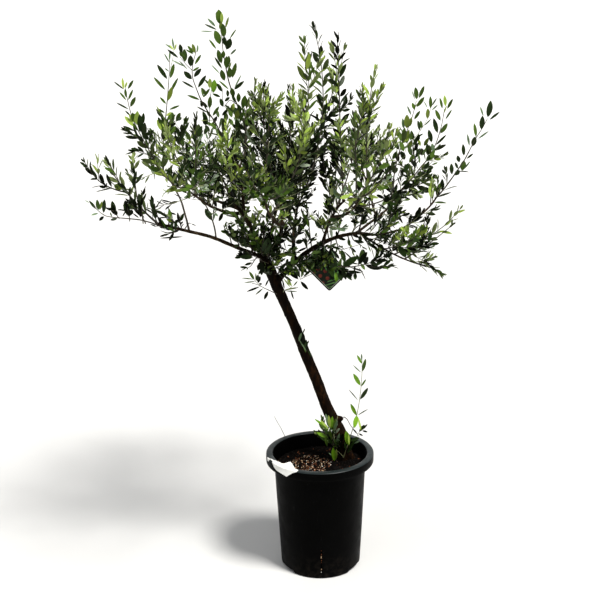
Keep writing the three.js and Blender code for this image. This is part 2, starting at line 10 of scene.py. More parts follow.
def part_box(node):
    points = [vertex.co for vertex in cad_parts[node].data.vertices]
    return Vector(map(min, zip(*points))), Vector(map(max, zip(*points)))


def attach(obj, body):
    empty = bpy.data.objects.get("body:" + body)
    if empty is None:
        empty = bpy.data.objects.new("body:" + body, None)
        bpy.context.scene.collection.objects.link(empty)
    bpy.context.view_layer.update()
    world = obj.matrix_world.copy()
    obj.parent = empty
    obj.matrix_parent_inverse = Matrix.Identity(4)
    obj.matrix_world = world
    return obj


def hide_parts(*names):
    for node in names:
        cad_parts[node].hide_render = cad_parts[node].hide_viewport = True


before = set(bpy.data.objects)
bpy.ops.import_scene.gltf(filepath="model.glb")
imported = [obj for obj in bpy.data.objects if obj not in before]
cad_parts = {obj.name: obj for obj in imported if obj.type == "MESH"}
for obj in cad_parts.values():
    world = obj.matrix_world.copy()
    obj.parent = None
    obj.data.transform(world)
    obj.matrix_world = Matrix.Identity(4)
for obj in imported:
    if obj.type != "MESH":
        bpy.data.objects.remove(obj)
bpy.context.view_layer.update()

MM = 0.001

# ---- the camera, first ------------------------------------------------------------------------
cam = bpy.data.cameras.new("camera")
cam.lens, cam.sensor_width, cam.clip_end = 60, 36, 200
camera = bpy.data.objects.new("camera", cam)
bpy.context.scene.collection.objects.link(camera)
camera.matrix_world = (Matrix.Translation((-0.0448, -2.3283, 1.3158))
                       @ Matrix.Rotation(math.radians(90 - 14.98), 4, "X") @ Matrix.Rotation(math.radians(-0.75), 4, "Z"))
bpy.context.scene.camera = camera

# ---- sizes shared with the CAD part, in millimetres ---------------------------------------------
POT_HEIGHT, RIM_RADIUS, RIM_INNER, RIM_SKIRT = 299.5, 135.0, 118.5, 22.0
WALL_TOP_RADIUS, WALL_FOOT_RADIUS, FOOT_RADIUS, FLOOR_TOP, WALL = 114.5, 102.5, 98.0, 12.0, 2.4
NOTCH_WIDTH, NOTCH_HEIGHT, NOTCH_INNER = 54.0, 7.5, 62.0
SLIT_WIDTH, SLIT_BOTTOM, SLIT_TOP = 3.2, 16.0, 82.0
SOIL_TOP = 264.5
TRUNK_FOOT, TRUNK_REACH, TRUNK_BOW = (67, 38, 265), (-196, -38, 532), (2, 0, 11)
TRUNK_GIRTH = [(0, 44), (0.04, 38), (0.1, 34), (0.18, 30), (0.28, 27), (0.45, 24.5), (0.7, 23.5), (0.88, 24.5), (1, 26)]
STUB_AT, STUB_SIDE, STUB_LENGTH, STUB_ROOT, STUB_TIP = 0.19, (1, -0.15, 0.05), 26.0, 21.0, 14.0

# limb: parent, place along it, reach from root to end, bow at mid-length, root and end diameter
LIMBS = {
    "left_low": ("trunk", 1.00, (-236, -90, 103), (-1, 0, 7), 9.5, 6),
    "left_high": ("trunk", 1.00, (-67, 50, 118), (6, 0, 3), 11, 8.5),
    "left_arch": ("left_high", 0.96, (-219, 102, 88), (0, 0, -5), 7, 4),
    "up_left": ("left_high", 0.75, (-9, -17, 129), (3, 0, 1), 8, 6),
    "up_mid": ("trunk", 1.00, (30, -40, 169), (30, 0, -6), 9, 6),
    "right": ("trunk", 0.87, (200, -35, 128), (-11, 0, 25), 12, 8),
    "right_low": ("right", 1.00, (147, -90, -62), (-2, 0, -7), 5, 3),
    "right_out": ("right", 1.00, (191, 90, 70), (10, 0, -28), 6, 4),
    "right_in": ("right", 0.96, (143, 159, 101), (5, 0, -8), 6, 4),
    "up_right": ("right", 0.29, (7, 75, 122), (-7, 0, 0), 8, 5),
    "mid_right": ("right", 0.62, (47, -103, 118), (-7, 0, 5), 7, 4.5),
    "front_left": ("left_high", 0.85, (-97, -268, 99), (0, 0, -12), 8, 4),
    "front": ("up_mid", 0.55, (-37, -253, 106), (0, 0, -20), 8, 4),
    "front_right": ("mid_right", 0.55, (55, -217, 84), (0, 0, -10), 6.5, 4),
    "back_left": ("left_high", 0.60, (-92, 245, 104), (0, 0, -10), 8, 4),
    "back": ("trunk", 1.00, (54, 285, 168), (0, 0, -15), 9, 4),
    "back_right": ("right_in", 0.35, (-22, 273, 97), (0, 0, -10), 5.5, 4),
    "left_tip": ("left_low", 1.00, (-151, -60, 71), (-9, 0, -16), 5, 2),
    "left_rise": ("left_low", 1.00, (-123, 50, 142), (-4, 0, -3), 5, 2),
    "left_fan": ("left_rise", 0.50, (-94, -35, 89), (-12, 0, -14), 3.5, 1.5),
    "left_shoot": ("left_rise", 0.33, (-19, 94, 111), (-4, 0, -1), 3, 1.5),
    "left_nub": ("left_low", 1.00, (-15, 20, 61), (-3, 0, -1), 3, 1.5),
    "spire_a": ("left_low", 0.71, (-147, 84, 342), (-3, 0, -1), 5, 1.5),
    "thin_a": ("left_low", 0.46, (-100, 21, 159), (20, 0, 12), 4, 2),
    "spire_b": ("left_arch", 0.85, (20, 25, 284), (-2, 0, 2), 4, 1.5),
    "spire_c": ("up_left", 0.96, (-92, -121, 274), (-16, 0, 0), 4.5, 1.5),
    "spire_cl": ("spire_c", 0.79, (-51, -46, 69), (-5, 0, -3), 2, 1),
    "shoot_c2": ("spire_c", 0.27, (-19, -9, 129), (-15, 0, -1), 2.5, 1),
    "shoot_c3": ("front_left", 0.40, (20, -85, 268), (18, 0, 4), 3, 1),
    "spire_d": ("up_left", 0.96, (-38, 29, 354), (5, 0, 3), 5.5, 1.5),
    "top_e1": ("back_left", 0.73, (84, -9, 272), (19, 0, -3), 4, 1.5),
    "top_e2": ("up_mid", 0.97, (-18, -61, 256), (-14, 0, 2), 4, 1.5),
    "top_f1": ("up_mid", 0.95, (29, 88, 244), (15, 0, -2), 4, 1.5),
    "top_f2": ("front", 0.64, (66, 54, 267), (31, 0, -6), 4, 1.5),
    "spire_g": ("up_right", 0.96, (40, 73, 432), (40, 0, -1), 5, 1.5),
    "spire_g2": ("up_right", 0.82, (35, -36, 379), (8, 0, 5), 4, 1.5),
    "spire_h": ("mid_right", 0.95, (-13, -5, 367), (0, 0, 4), 4.5, 1.5),
    "spire_i": ("back_right", 0.55, (22, 23, 307), (-12, 0, 3), 4.5, 1.5),
    "spire_i2": ("mid_right", 0.68, (73, 57, 246), (7, 0, -2), 4, 1.5),
    "spire_j": ("right_in", 0.59, (73, 55, 272), (-10, 0, 3), 4, 1.5),
    "spire_j2": ("right_in", 0.75, (63, -71, 234), (4, 0, 2), 4, 1.5),
    "spire_k": ("right_in", 0.94, (104, 79, 201), (19, 0, -9), 4, 1.5),
    "right_long": ("right_out", 0.97, (128, -27, 226), (6, 0, -1), 4, 1.5),
    "right_m": ("right_in", 0.91, (92, 104, 8), (1, 0, -6), 3, 1.5),
    "right_tip": ("right_low", 0.83, (58, -45, -24), (2, 0, 4), 3, 1.5),
    "right_n1": ("right_low", 0.69, (97, -98, 102), (4, 0, -2), 3, 1.5),
    "right_n2": ("right_low", 0.54, (161, 29, 107), (10, 0, -13), 3, 1.5),
    "right_c": ("right_low", 0.39, (70, -155, 82), (7, 0, -9), 3, 1.5),
    "low_twig": ("right", 0.40, (192, -171, 41), (4, 0, -32), 4, 1.5),
    "right_up": ("right_out", 0.26, (-5, 7, 151), (22, 0, 1), 4, 1.5),
    "right_up2": ("right", 0.98, (-18, -71, 180), (21, 0, 4), 4, 1.5),
    "shoot_l": ("trunk", 0.81, (-81, -47, 46), (1, 0, 4), 2.5, 1),
    "shoot_r": ("trunk", 0.83, (57, -56, 27), (0, 0, 0), 2.5, 1),
    "front_a1": ("front_left", 1.00, (-55, -110, 77), (0, 0, -12), 4, 1.5),
    "front_a2": ("front_left", 0.85, (15, -85, 188), (0, -20, 0), 4, 1.5),
    "front_a3": ("front_left", 0.60, (-89, -32, 188), (-20, 0, 0), 4, 1.5),
    "front_a4": ("front_left", 1.00, (45, -160, 52), (0, 0, -12), 4, 1.5),
    "front_b1": ("front", 1.00, (-30, -140, 95), (0, -10, -14), 4, 1.5),
    "front_b2": ("front", 0.90, (16, -70, 198), (0, -25, 0), 4, 1.5),
    "front_b4": ("front", 0.95, (63, -133, 54), (0, 0, -12), 4, 1.5),
    "front_c1": ("front_right", 1.00, (60, -100, 85), (0, 0, -12), 4, 1.5),
    "front_c2": ("front_right", 0.85, (-12, -72, 193), (0, -25, 0), 4, 1.5),
    "front_c3": ("front_right", 0.50, (93, -18, 192), (20, 0, 0), 4, 1.5),
    "front_c4": ("front_right", 0.95, (-42, -125, 57), (0, 0, -12), 4, 1.5),
    "front_c5": ("front_right", 0.70, (122, -45, 54), (0, 0, -12), 4, 1.5),
    "back_a1": ("back_left", 1.00, (-75, 105, 105), (0, 0, -12), 4, 1.5),
    "back_a2": ("back_left", 0.90, (1, 60, 219), (0, 20, 0), 4, 1.5),
    "back_a4": ("back_left", 1.00, (55, 145, 65), (0, 0, -12), 4, 1.5),
    "back_a5": ("back_left", 0.70, (-142, 49, 160), (-15, 0, -12), 4, 1.5),
    "back_b1": ("back", 1.00, (-20, 145, 130), (0, 10, -14), 4, 1.5),
    "back_b2": ("back", 0.90, (25, 53, 247), (0, 25, 0), 4, 1.5),
    "back_b3": ("back", 0.60, (-23, 44, 297), (0, 15, 0), 4, 1.5),
    "back_b4": ("back", 0.95, (63, 144, 66), (0, 0, -12), 4, 1.5),
    "back_c1": ("back_right", 1.00, (85, 100, 95), (0, 0, -12), 4, 1.5),
    "back_c2": ("back_right", 0.90, (3, 72, 214), (0, 20, 0), 4, 1.5),
    "back_c3": ("back", 0.75, (134, 11, 278), (25, 0, 0), 4, 1.5),
    "back_c4": ("back_right", 1.00, (-10, 130, 45), (0, 0, -12), 4, 1.5),
    "back_c5": ("back_right", 0.70, (133, 72, 138), (15, 10, -12), 4, 1.5),
    # basal suckers
    "sucker_tall": ("trunk", 0.03, (39, -22, 279), (11, 0, 2), 5, 2),
    "sucker_short": ("trunk", 0.03, (-55, -48, 122), (-14, 0, -20), 4.5, 2),
}
BOUGHS = ["left_low", "left_high", "left_arch", "up_left", "up_mid", "right", "right_low", "right_out",
    "right_in", "up_right", "mid_right", "front_left", "front", "front_right", "back_left", "back",
    "back_right"]

# ---- materials ---------------------------------------------------------------------------------
def srgb(r, g, b):
    f = lambda c: c / 12.92 if c <= 0.04045 else ((c + 0.055) / 1.055) ** 2.4
    return (f(r / 255), f(g / 255), f(b / 255), 1.0)


class Tree:
    """A material's node tree with short calls for the nodes used here."""

    def __init__(self, name, rough=0.6, **sockets):
        self.mat = bpy.data.materials.new(name)
        self.mat.use_nodes = True
        self.nt = self.mat.node_tree
        self.nt.nodes.clear()
        self.out = self.nt.nodes.new("ShaderNodeOutputMaterial")
        self.bsdf = self.nt.nodes.new("ShaderNodeBsdfPrincipled")
        self.nt.links.new(self.bsdf.outputs[0], self.out.inputs[0])
        self.bsdf.inputs["Roughness"].default_value = rough
        for key, value in sockets.items():
            self.bsdf.inputs[key.replace("_", " ")].default_value = value
        self.place = self.nt.nodes.new("ShaderNodeTexCoord").outputs["Object"]

    def node(self, kind, **props):
        n = self.nt.nodes.new(kind)
        for key, value in props.items():
            setattr(n, key, value)
        return n

    def put(self, value, socket):
        if isinstance(value, bpy.types.NodeSocket):
            self.nt.links.new(value, socket)
        else:
            socket.default_value = value

    def scaled(self, x, y, z, turn=(0, 0, 0)):
        n = self.node("ShaderNodeMapping")
        self.put(self.place, n.inputs["Vector"])
        n.inputs["Scale"].default_value = (x, y, z)
        n.inputs["Rotation"].default_value = turn
        return n.outputs[0]

    def noise(self, scale, detail=3.0, rough=0.55, where=None, distortion=0.0):
        n = self.node("ShaderNodeTexNoise")
        self.put(where or self.place, n.inputs["Vector"])
        n.inputs["Scale"].default_value = scale
        n.inputs["Detail"].default_value = detail
        n.inputs["Roughness"].default_value = rough
        n.inputs["Distortion"].default_value = distortion
        return n.outputs["Fac"]

    def voronoi(self, scale, where=None, feature="F1", out="Distance"):
        n = self.node("ShaderNodeTexVoronoi", feature=feature)
        self.put(where or self.place, n.inputs["Vector"])
        n.inputs["Scale"].default_value = scale
        return n.outputs[out]

    def ramp(self, fac, *stops):
        n = self.node("ShaderNodeValToRGB")
        while len(n.color_ramp.elements) < len(stops):
            n.color_ramp.elements.new(0.5)
        for e, (pos, colour) in zip(n.color_ramp.elements, stops):
            e.position, e.color = pos, colour
        self.put(fac, n.inputs[0])
        return n.outputs[0]

    def span(self, fac, low, high, a=0.0, b=1.0):
        n = self.node("ShaderNodeMapRange")
        self.put(fac, n.inputs["Value"])
        for key, value in (("From Min", a), ("From Max", b), ("To Min", low), ("To Max", high)):
            n.inputs[key].default_value = value
        return n.outputs[0]

    def mixed(self, fac, a, b, blend="MIX"):
        n = self.node("ShaderNodeMix", data_type="RGBA", blend_type=blend)
        self.put(fac, n.inputs[0])
        self.put(a, n.inputs[6])
        self.put(b, n.inputs[7])
        return n.outputs[2]

    def height(self, *parts):
        """Bump from one or more (fac, distance in metres) layers."""
        normal = None
        for fac, distance in parts:
            n = self.node("ShaderNodeBump")
            n.inputs["Strength"].default_value = 1.0
            n.inputs["Distance"].default_value = distance
            self.put(fac, n.inputs["Height"])
            if normal is not None:
                self.put(normal, n.inputs["Normal"])
            normal = n.outputs[0]
        self.put(normal, self.bsdf.inputs["Normal"])

    def colour(self, value):
        self.put(value, self.bsdf.inputs["Base Color"])

    def rough(self, value):
        self.put(value, self.bsdf.inputs["Roughness"])


def z_of(t):
    n = t.node("ShaderNodeSeparateXYZ")
    t.put(t.place, n.inputs[0])
    return n.outputs[2]


def pot_material(name, a, b, level):
    t = Tree(name, Specular_IOR_Level=level)
    blotch = t.noise(9, 4)
    dust = t.ramp(t.noise(70, 5, 0.7), (0.45, (0, 0, 0, 1)), (0.8, (1, 1, 1, 1)))
    low = t.span(z_of(t), 1.0, 0.0, 0.0, 0.07)
    grit = t.node("ShaderNodeMath", operation="MULTIPLY")
    t.put(dust, grit.inputs[0])
    t.put(low, grit.inputs[1])
    base = t.ramp(blotch, (0.3, a), (0.7, b))
    t.colour(t.mixed(grit.outputs[0], base, srgb(34, 30, 25)))
    t.rough(t.span(t.noise(34, 4), 0.3, 0.52, 0.3, 0.7))
    t.height((t.noise(260, 3), 0.00012), (t.noise(26, 2), 0.0009))
    return t.mat


def soil_material():
    t = Tree("soil_mix", 0.95, Specular_IOR_Level=0.04)
    # near-black mix: partly the mix's own dark colour, partly painted shade from the rim and the crown
    t.colour(t.ramp(t.noise(160, 5, 0.7), (0.3, srgb(2, 1, 1)), (0.55, srgb(5, 3, 2)), (0.8, srgb(13, 9, 6))))
    t.height((t.noise(300, 4, 0.7), 0.002))
    return t.mat


def chip_material(name, dark, light):
    t = Tree(name, 0.85, Specular_IOR_Level=0.12)
    t.colour(t.ramp(t.noise(420, 3, where=t.scaled(1, 1, 0.4)), (0.3, dark), (0.7, light)))
    t.rough(t.span(t.noise(120), 0.7, 0.95, 0.3, 0.7))
    t.height((t.noise(900, 2), 0.0004))
    return t.mat


def bark_material(name, dark, mid, light, moss):
    """Bark with long fissures, paler plates and a little green bloom; painted shade darkens the trunk under the crown,
    and the upper boughs are paler, partly younger bark and partly painted light.
    """
    t = Tree(name, 0.85, Specular_IOR_Level=0.06)
    long = t.scaled(1, 1, 0.28, (0, math.radians(20), 0))
    plates = t.noise(140, 5, 0.65, long, 0.4)
    colour = t.ramp(plates, (0.3, dark), (0.52, mid), (0.78, light))
    # paler ramp for the upper boughs: partly their younger bark, partly painted light on their lit tops
    young = t.ramp(plates, (0.3, srgb(14, 10, 6)), (0.52, srgb(40, 30, 18)), (0.78, srgb(84, 68, 46)))
    # painted shade: from 0.40 m up the trunk is mixed towards near-black, for the crown's shadow
    colour = t.mixed(t.span(z_of(t), 0.0, 0.55, 0.40, 0.56), colour, srgb(4, 2, 1))
    colour = t.mixed(t.span(z_of(t), 0.0, 1.0, 0.77, 0.85), colour, young)
    bloom = t.ramp(t.noise(38, 3), (0.52, (0, 0, 0, 1)), (0.72, (0.55, 0.55, 0.55, 1)))
    t.colour(t.mixed(bloom, colour, moss))
    t.rough(t.span(t.noise(90, 3), 0.7, 0.92, 0.3, 0.7))
    t.height((t.noise(420, 4, 0.7, long), 0.0008), (t.voronoi(240, long), 0.0005))
    return t.mat


def twig_material(name, dark, light, rough):
    t = Tree(name, rough)
    t.colour(t.ramp(t.noise(55, 4, 0.6), (0.32, dark), (0.7, light)))
    t.rough(t.span(t.noise(200), rough - 0.08, rough + 0.12, 0.3, 0.7))
    t.height((t.noise(900, 2), 0.0003))
    return t.mat


def leaf_material(name, dark, light, rough, sheen=0.0, level=0.22):
    """A leaf face: its tone drifts a little from leaf to leaf, with faint mottling and a waxy or felted finish."""
    t = Tree(name, rough, Specular_IOR_Level=level)
    if sheen:
        t.bsdf.inputs["Sheen Weight"].default_value = sheen
        t.bsdf.inputs["Sheen Roughness"].default_value = 0.5
    drift = t.ramp(t.noise(42, 2, 0.5), (0.3, dark), (0.7, light))
    t.colour(t.mixed(t.span(t.noise(900, 2), 0.0, 0.35, 0.35, 0.75), drift, light))
    t.rough(t.span(t.noise(300), rough - 0.07, rough + 0.1, 0.3, 0.7))
    t.height((t.noise(1100, 2), 0.00015))
    return t.mat


def tag_material():
    t = Tree("tag_paper", 0.55)
    t.colour(t.ramp(t.noise(60, 4), (0.35, srgb(222, 222, 217)), (0.65, srgb(240, 240, 236))))
    t.rough(t.span(t.noise(400), 0.48, 0.65, 0.3, 0.7))
    t.height((t.noise(70, 3), 0.0006), (t.noise(900, 2), 0.0001))
    return t.mat


def card_material(name, dark, light):
    t = Tree(name, 0.55, Specular_IOR_Level=0.12)
    t.colour(t.ramp(t.noise(130, 3), (0.35, dark), (0.65, light)))
    t.rough(t.span(t.noise(220), 0.48, 0.64, 0.3, 0.7))
    t.height((t.noise(24, 2), 0.0008))
    return t.mat


def floor_material():
    t = Tree("pale_floor", 0.7)
    t.colour(t.ramp(t.noise(1.3, 3), (0.3, (0.60, 0.60, 0.595, 1)), (0.7, (0.64, 0.64, 0.635, 1))))
    t.rough(t.span(t.noise(6), 0.6, 0.75, 0.3, 0.7))
    t.height((t.noise(40, 3), 0.0004))
    return t.mat


# ---- mesh helpers --------------------------------------------------------------------------------
def seed_of(name):
    s = 7
    for c in name:
        s = (s * 31 + ord(c)) % 99991
    return s


def mesh_object(name, verts, faces, materials, face_mats=None, smooth=True, sharp_angle=None):
    me = bpy.data.meshes.new(name)
    me.from_pydata([tuple(v) for v in verts], [], faces)
    for m in materials:
        me.materials.append(m)
    if face_mats is not None:
        me.polygons.foreach_set("material_index", np.asarray(face_mats, np.int32))
    me.polygons.foreach_set("use_smooth", np.full(len(me.polygons), smooth))
    me.update()
    if sharp_angle:
        me.set_sharp_from_angle(angle=math.radians(sharp_angle))
    ob = bpy.data.objects.new(name, me)
    bpy.context.scene.collection.objects.link(ob)
    return ob


def place(ob, slot, *nodes):
    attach(ob, "root")
    if nodes:
        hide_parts(*nodes)
    return ob


def unit(v):
    v = np.asarray(v, float)
    return v / np.maximum(np.linalg.norm(v, axis=-1, keepdims=True), 1e-12)


def frames(points, first=(0.31, 0.93, 0.2)):
    """Headings and two cross directions carried along a line of points without twisting."""
    p = np.asarray(points, float)
    t = unit(np.gradient(p, axis=0))
    u = np.empty_like(t)
    a = np.cross(t[0], np.asarray(first))
    u[0] = a / np.linalg.norm(a)
    for i in range(1, len(p)):
        a = u[i - 1] - t[i] * (u[i - 1] @ t[i])
        u[i] = a / np.linalg.norm(a)
    return t, u, np.cross(t, u)


def tube(points, radii, sides, swell=None):
    """Closed tube round a line. swell(i, angles) may scale each ring's radius."""
    p, r = np.asarray(points, float), np.asarray(radii, float)
    t, u, v = frames(p)
    a = np.arange(sides) / sides * 2 * np.pi
    verts = [p[0] - t[0] * r[0] * 0.5]
    for i in range(len(p)):
        rr = r[i] * (swell(i, a) if swell else 1.0)
        verts.extend(p[i] + np.outer(np.cos(a) * rr, u[i]) + np.outer(np.sin(a) * rr, v[i]))
    verts.append(p[-1] + t[-1] * r[-1] * 0.8)
    faces, n = [], sides
    for j in range(n):
        k = (j + 1) % n
        faces.append((0, 1 + k, 1 + j))
        for i in range(len(p) - 1):
            a0, b0 = 1 + i * n + j, 1 + i * n + k
            faces.append((a0, b0, b0 + n, a0 + n))
        e = 1 + (len(p) - 1) * n
        faces.append((len(verts) - 1, e + j, e + k))
    return verts, faces


class Batch:
    """Many closed pieces joined into one mesh."""

    def __init__(self):
        self.v, self.f, self.m = [], [], []

    def add(self, verts, faces, mat=0):
        o = len(self.v)
        self.v.extend(verts)
        self.f.extend(tuple(i + o for i in f) for f in faces)
        self.m.extend([mat] * len(faces))

    def make(self, name, materials, smooth=True, sharp_angle=None):
        return mesh_object(name, self.v, self.f, materials, self.m, smooth, sharp_angle)


# ---- limbs as curves -----------------------------------------------------------------------------
curve_cache = {}


def curve(name):
    """The limb's line as a function of the share of its length, its length, and its end diameters, in metres."""
    if name not in curve_cache:
        if name == "trunk":
            root, reach, bow, d0, d1 = (np.array(TRUNK_FOOT) * MM, np.array(TRUNK_REACH) * MM, np.array(TRUNK_BOW) * MM, 30, 25)
        else:
            parent, at, reach, bow, d0, d1 = LIMBS[name]
            root, reach, bow = curve(parent)[0](at), np.array(reach) * MM, np.array(bow) * MM

        def point(t, root=root, reach=reach, bow=bow):
            t = np.asarray(t, float)[..., None]
            s = np.clip(t, 0, 1)
            return root + reach * s + bow * 4 * s * (1 - s) + (reach + bow * 4 * (1 - 2 * s)) * (t - s)

        curve_cache[name] = (point, float(np.linalg.norm(reach)), d0 * MM, d1 * MM)
    return curve_cache[name]


def girth(t):
    return np.interp(t, [a for a, _ in TRUNK_GIRTH], [b for _, b in TRUNK_GIRTH]) * MM


def limb_line(name, t0, t1, step, wander=0.0):
    """Points along a limb, wandering a little between its ends, and their shares of its length."""
    point, length, _, _ = curve(name)
    n = max(4, int(round((t1 - t0) * length / step)) + 1)
    t = np.linspace(t0, t1, n)
    p = point(t)
    if wander:
        rng = np.random.default_rng(seed_of(name) + 11)
        for k in (1, 2, 3, 5):
            amp = rng.normal(0, wander / k, 3)
            p = p + np.outer(np.sin(k * np.pi * np.clip(t, 0, 1)), amp)
    return p, t


def drawn_line(name, t0, t1, step, wander=0.0):
    """The line a limb is drawn along: its own, or the course that is set for it."""
    p, t = limb_line(name, t0, t1, step, wander)
    if name in ROUTES:
        way = np.vstack([curve(name)[0](0.0)[None], np.array(ROUTES[name]) * MM])
        far = np.concatenate([[0], np.cumsum(np.linalg.norm(np.diff(way, axis=0), axis=1))])
        p = np.stack([np.interp(t * far[-1], far, way[:, i]) for i in range(3)], 1)
        for _ in range(4):
            p[1:-1] = (p[:-2] + 2 * p[1:-1] + p[2:]) / 4
    return p, t


# ---- trunk and boughs: one skin with collars, fissures and knots -----------------------------------
TRUNK_KNOTS = [(0.13, 2.2, 6.5, 3.2), (0.36, 0.4, 5.0, 2.0), (0.55, 2.3, 6.0, 1.6), (0.638, 6.0, 8.0, 3.0), (0.717, 3.3, 3.0, 2.2), (0.86, 3.0, 8.0, 3.4)]
# share of the trunk, direction round it, width and height of a healed knot


def wood():
    raw = Batch()
    point, length, _, _ = curve("trunk")
    t = np.linspace(-0.012, 1.0, 150)
    p = point(t)
    p[t < 0, 2] = (TRUNK_FOOT[2] - 6) * MM
    rng = np.random.default_rng(5)
    sway = sum(np.outer(np.sin(k * np.pi * np.clip(t, 0, 1)), rng.normal(0, 0.0016 / k, 3)) for k in (2, 3, 5, 7))
    p = p + sway
    p[:, 0] += 0.0065 * np.exp(-((t - 0.13) / 0.075) ** 2)
    r = girth(np.clip(t, 0, 1)) / 2 + 0.0008
    s = np.clip(t, 0, 1) * length

    def swell(i, a):
        flare = max(0.0, 1 - s[i] / 0.05)
        return 1 + 0.035 * np.sin(3 * a + 40 * s[i]) + 0.02 * np.sin(2 * a - 25 * s[i] + 1) + flare * 0.16 * np.cos(4 * a + 1)

    raw.add(*tube(p, r, 40, swell))
    root, side = point(STUB_AT), unit(STUB_SIDE)
    line = root + np.outer(np.linspace(0, STUB_LENGTH * MM, 9), side)
    raw.add(*tube(line, np.interp(np.linspace(0, 1, 9), [0, 0.6, 1], [STUB_ROOT / 2, STUB_ROOT / 2 - 1, STUB_TIP / 2]) * MM, 20))
    for name in BOUGHS:
        fn, ln, d0, d1 = curve(name)
        p, t = limb_line(name, 0.0, 1.0, 0.005, 0.0022)
        collar = 1 + 0.45 * np.exp(-t * ln / 0.009)
        wave = 1 + 0.05 * np.sin(t * ln * 210 + seed_of(name) % 7)
        more = 0.0016 * (1 - t) if name == "right" else 0.0004
        raw.add(*tube(p, (d0 + (d1 - d0) * t) / 2 * collar * wave + more, 14))
    ob = raw.make("wood_raw", [], True)
    mod = ob.modifiers.new("skin", "REMESH")
    mod.mode, mod.voxel_size, mod.adaptivity = "VOXEL", 0.00147, 0.0
    dg = bpy.context.evaluated_depsgraph_get()
    me = bpy.data.meshes.new_from_object(ob.evaluated_get(dg))
    bpy.data.objects.remove(ob)
    n = len(me.vertices)
    co = np.empty(n * 3)
    me.vertices.foreach_get("co", co)
    co = co.reshape(-1, 3)
    ed = np.empty(len(me.edges) * 2, np.int32)
    me.edges.foreach_get("vertices", ed)
    ed = ed.reshape(-1, 2)
    near = np.bincount(ed.ravel(), minlength=n)[:, None]
    for k in range(6):                                   # relax, then push back so that it keeps its girth
        total = np.zeros_like(co)
        np.add.at(total, ed[:, 0], co[ed[:, 1]])
        np.add.at(total, ed[:, 1], co[ed[:, 0]])
        co = co + (total / near - co) * (0.55 if k % 2 == 0 else -0.53)
    me.vertices.foreach_set("co", co.ravel())
    me.update()
    normal = np.empty(n * 3)
    me.vertices.foreach_get("normal", normal)
    normal = normal.reshape(-1, 3)
    # each point's limb, place along it and place round it
    names, spots = ["trunk", *BOUGHS], []
    for i, name in enumerate(names):
        fn, ln, _, _ = curve(name)
        for u in np.linspace(0, 1, max(8, int(ln / 0.004))):
            spots.append((i, u, fn(u)))
    tree = kdtree.KDTree(len(spots))
    for k, (_, _, q) in enumerate(spots):
        tree.insert(q, k)
    tree.balance()
    lift = np.zeros(n)
    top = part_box("pot")[1].z - 0.034
    for v in range(n):
        x = co[v]
        _, k, d = tree.find(x)
        i, u, q = spots[k]
        fn, ln, d0, d1 = curve(names[i])
        along = u * ln
        size = min(1.0, d / 0.012)
        h = unit(fn(min(u + 0.02, 1.0)) - fn(max(u - 0.02, 0.0)))
        away = (x - q) - h * ((x - q) @ h)
        w = Vector((away[0] * 260, away[1] * 260 + i * 3.1, along * 62))
        fissure = 1 - abs(noise.noise(w)) * 2.2
        lump = noise.noise(Vector((x[0] * 95, x[1] * 95, x[2] * 60 + 4)))
        fine = noise.noise(Vector((x[0] * 520, x[1] * 520, x[2] * 230)))
        lift[v] = (-0.55 * max(0.0, fissure) ** 3 + 0.75 * lump + 0.22 * fine) * 0.001 * size
        if i == 0:
            angle = math.atan2(away[1], away[0])
            for at, direction, wide, tall in TRUNK_KNOTS:
                da = (angle - direction + math.pi) % (2 * math.pi) - math.pi
                g = math.exp(-((u - at) * ln / (wide * MM)) ** 2 - (da * d / (wide * MM)) ** 2)
                lift[v] += (tall * g - 1.3 * tall * g ** 6) * MM
    co = co + normal * lift[:, None]
    me.vertices.foreach_set("co", co.ravel())
    me.materials.clear()
    me.materials.append(bark_material("bark", srgb(3, 1, 1), srgb(20, 9, 2), srgb(70, 41, 15), srgb(28, 22, 9)))
    me.polygons.foreach_set("use_smooth", np.ones(len(me.polygons), bool))
    me.update()
    me.name = "trunk_and_boughs"
    ob = bpy.data.objects.new("trunk_and_boughs", me)
    bpy.context.scene.collection.objects.link(ob)
    return place(ob, "bark", "trunk", *["bough_" + b for b in BOUGHS])


# ---- leaves ----------------------------------------------------------------------------------------
# half width of a narrow, pointed leaf at shares of its length
LEAF_AT = np.array([0.07, 0.19, 0.37, 0.58, 0.78, 0.92])
LEAF_HALF = np.array([0.10, 0.58, 0.92, 1.0, 0.77, 0.38])
TONES = ["deep", "dark", "mid", "olive", "bright", "young", "grey", "fresh"]
leaf_rows = {tone: [] for tone in TONES}


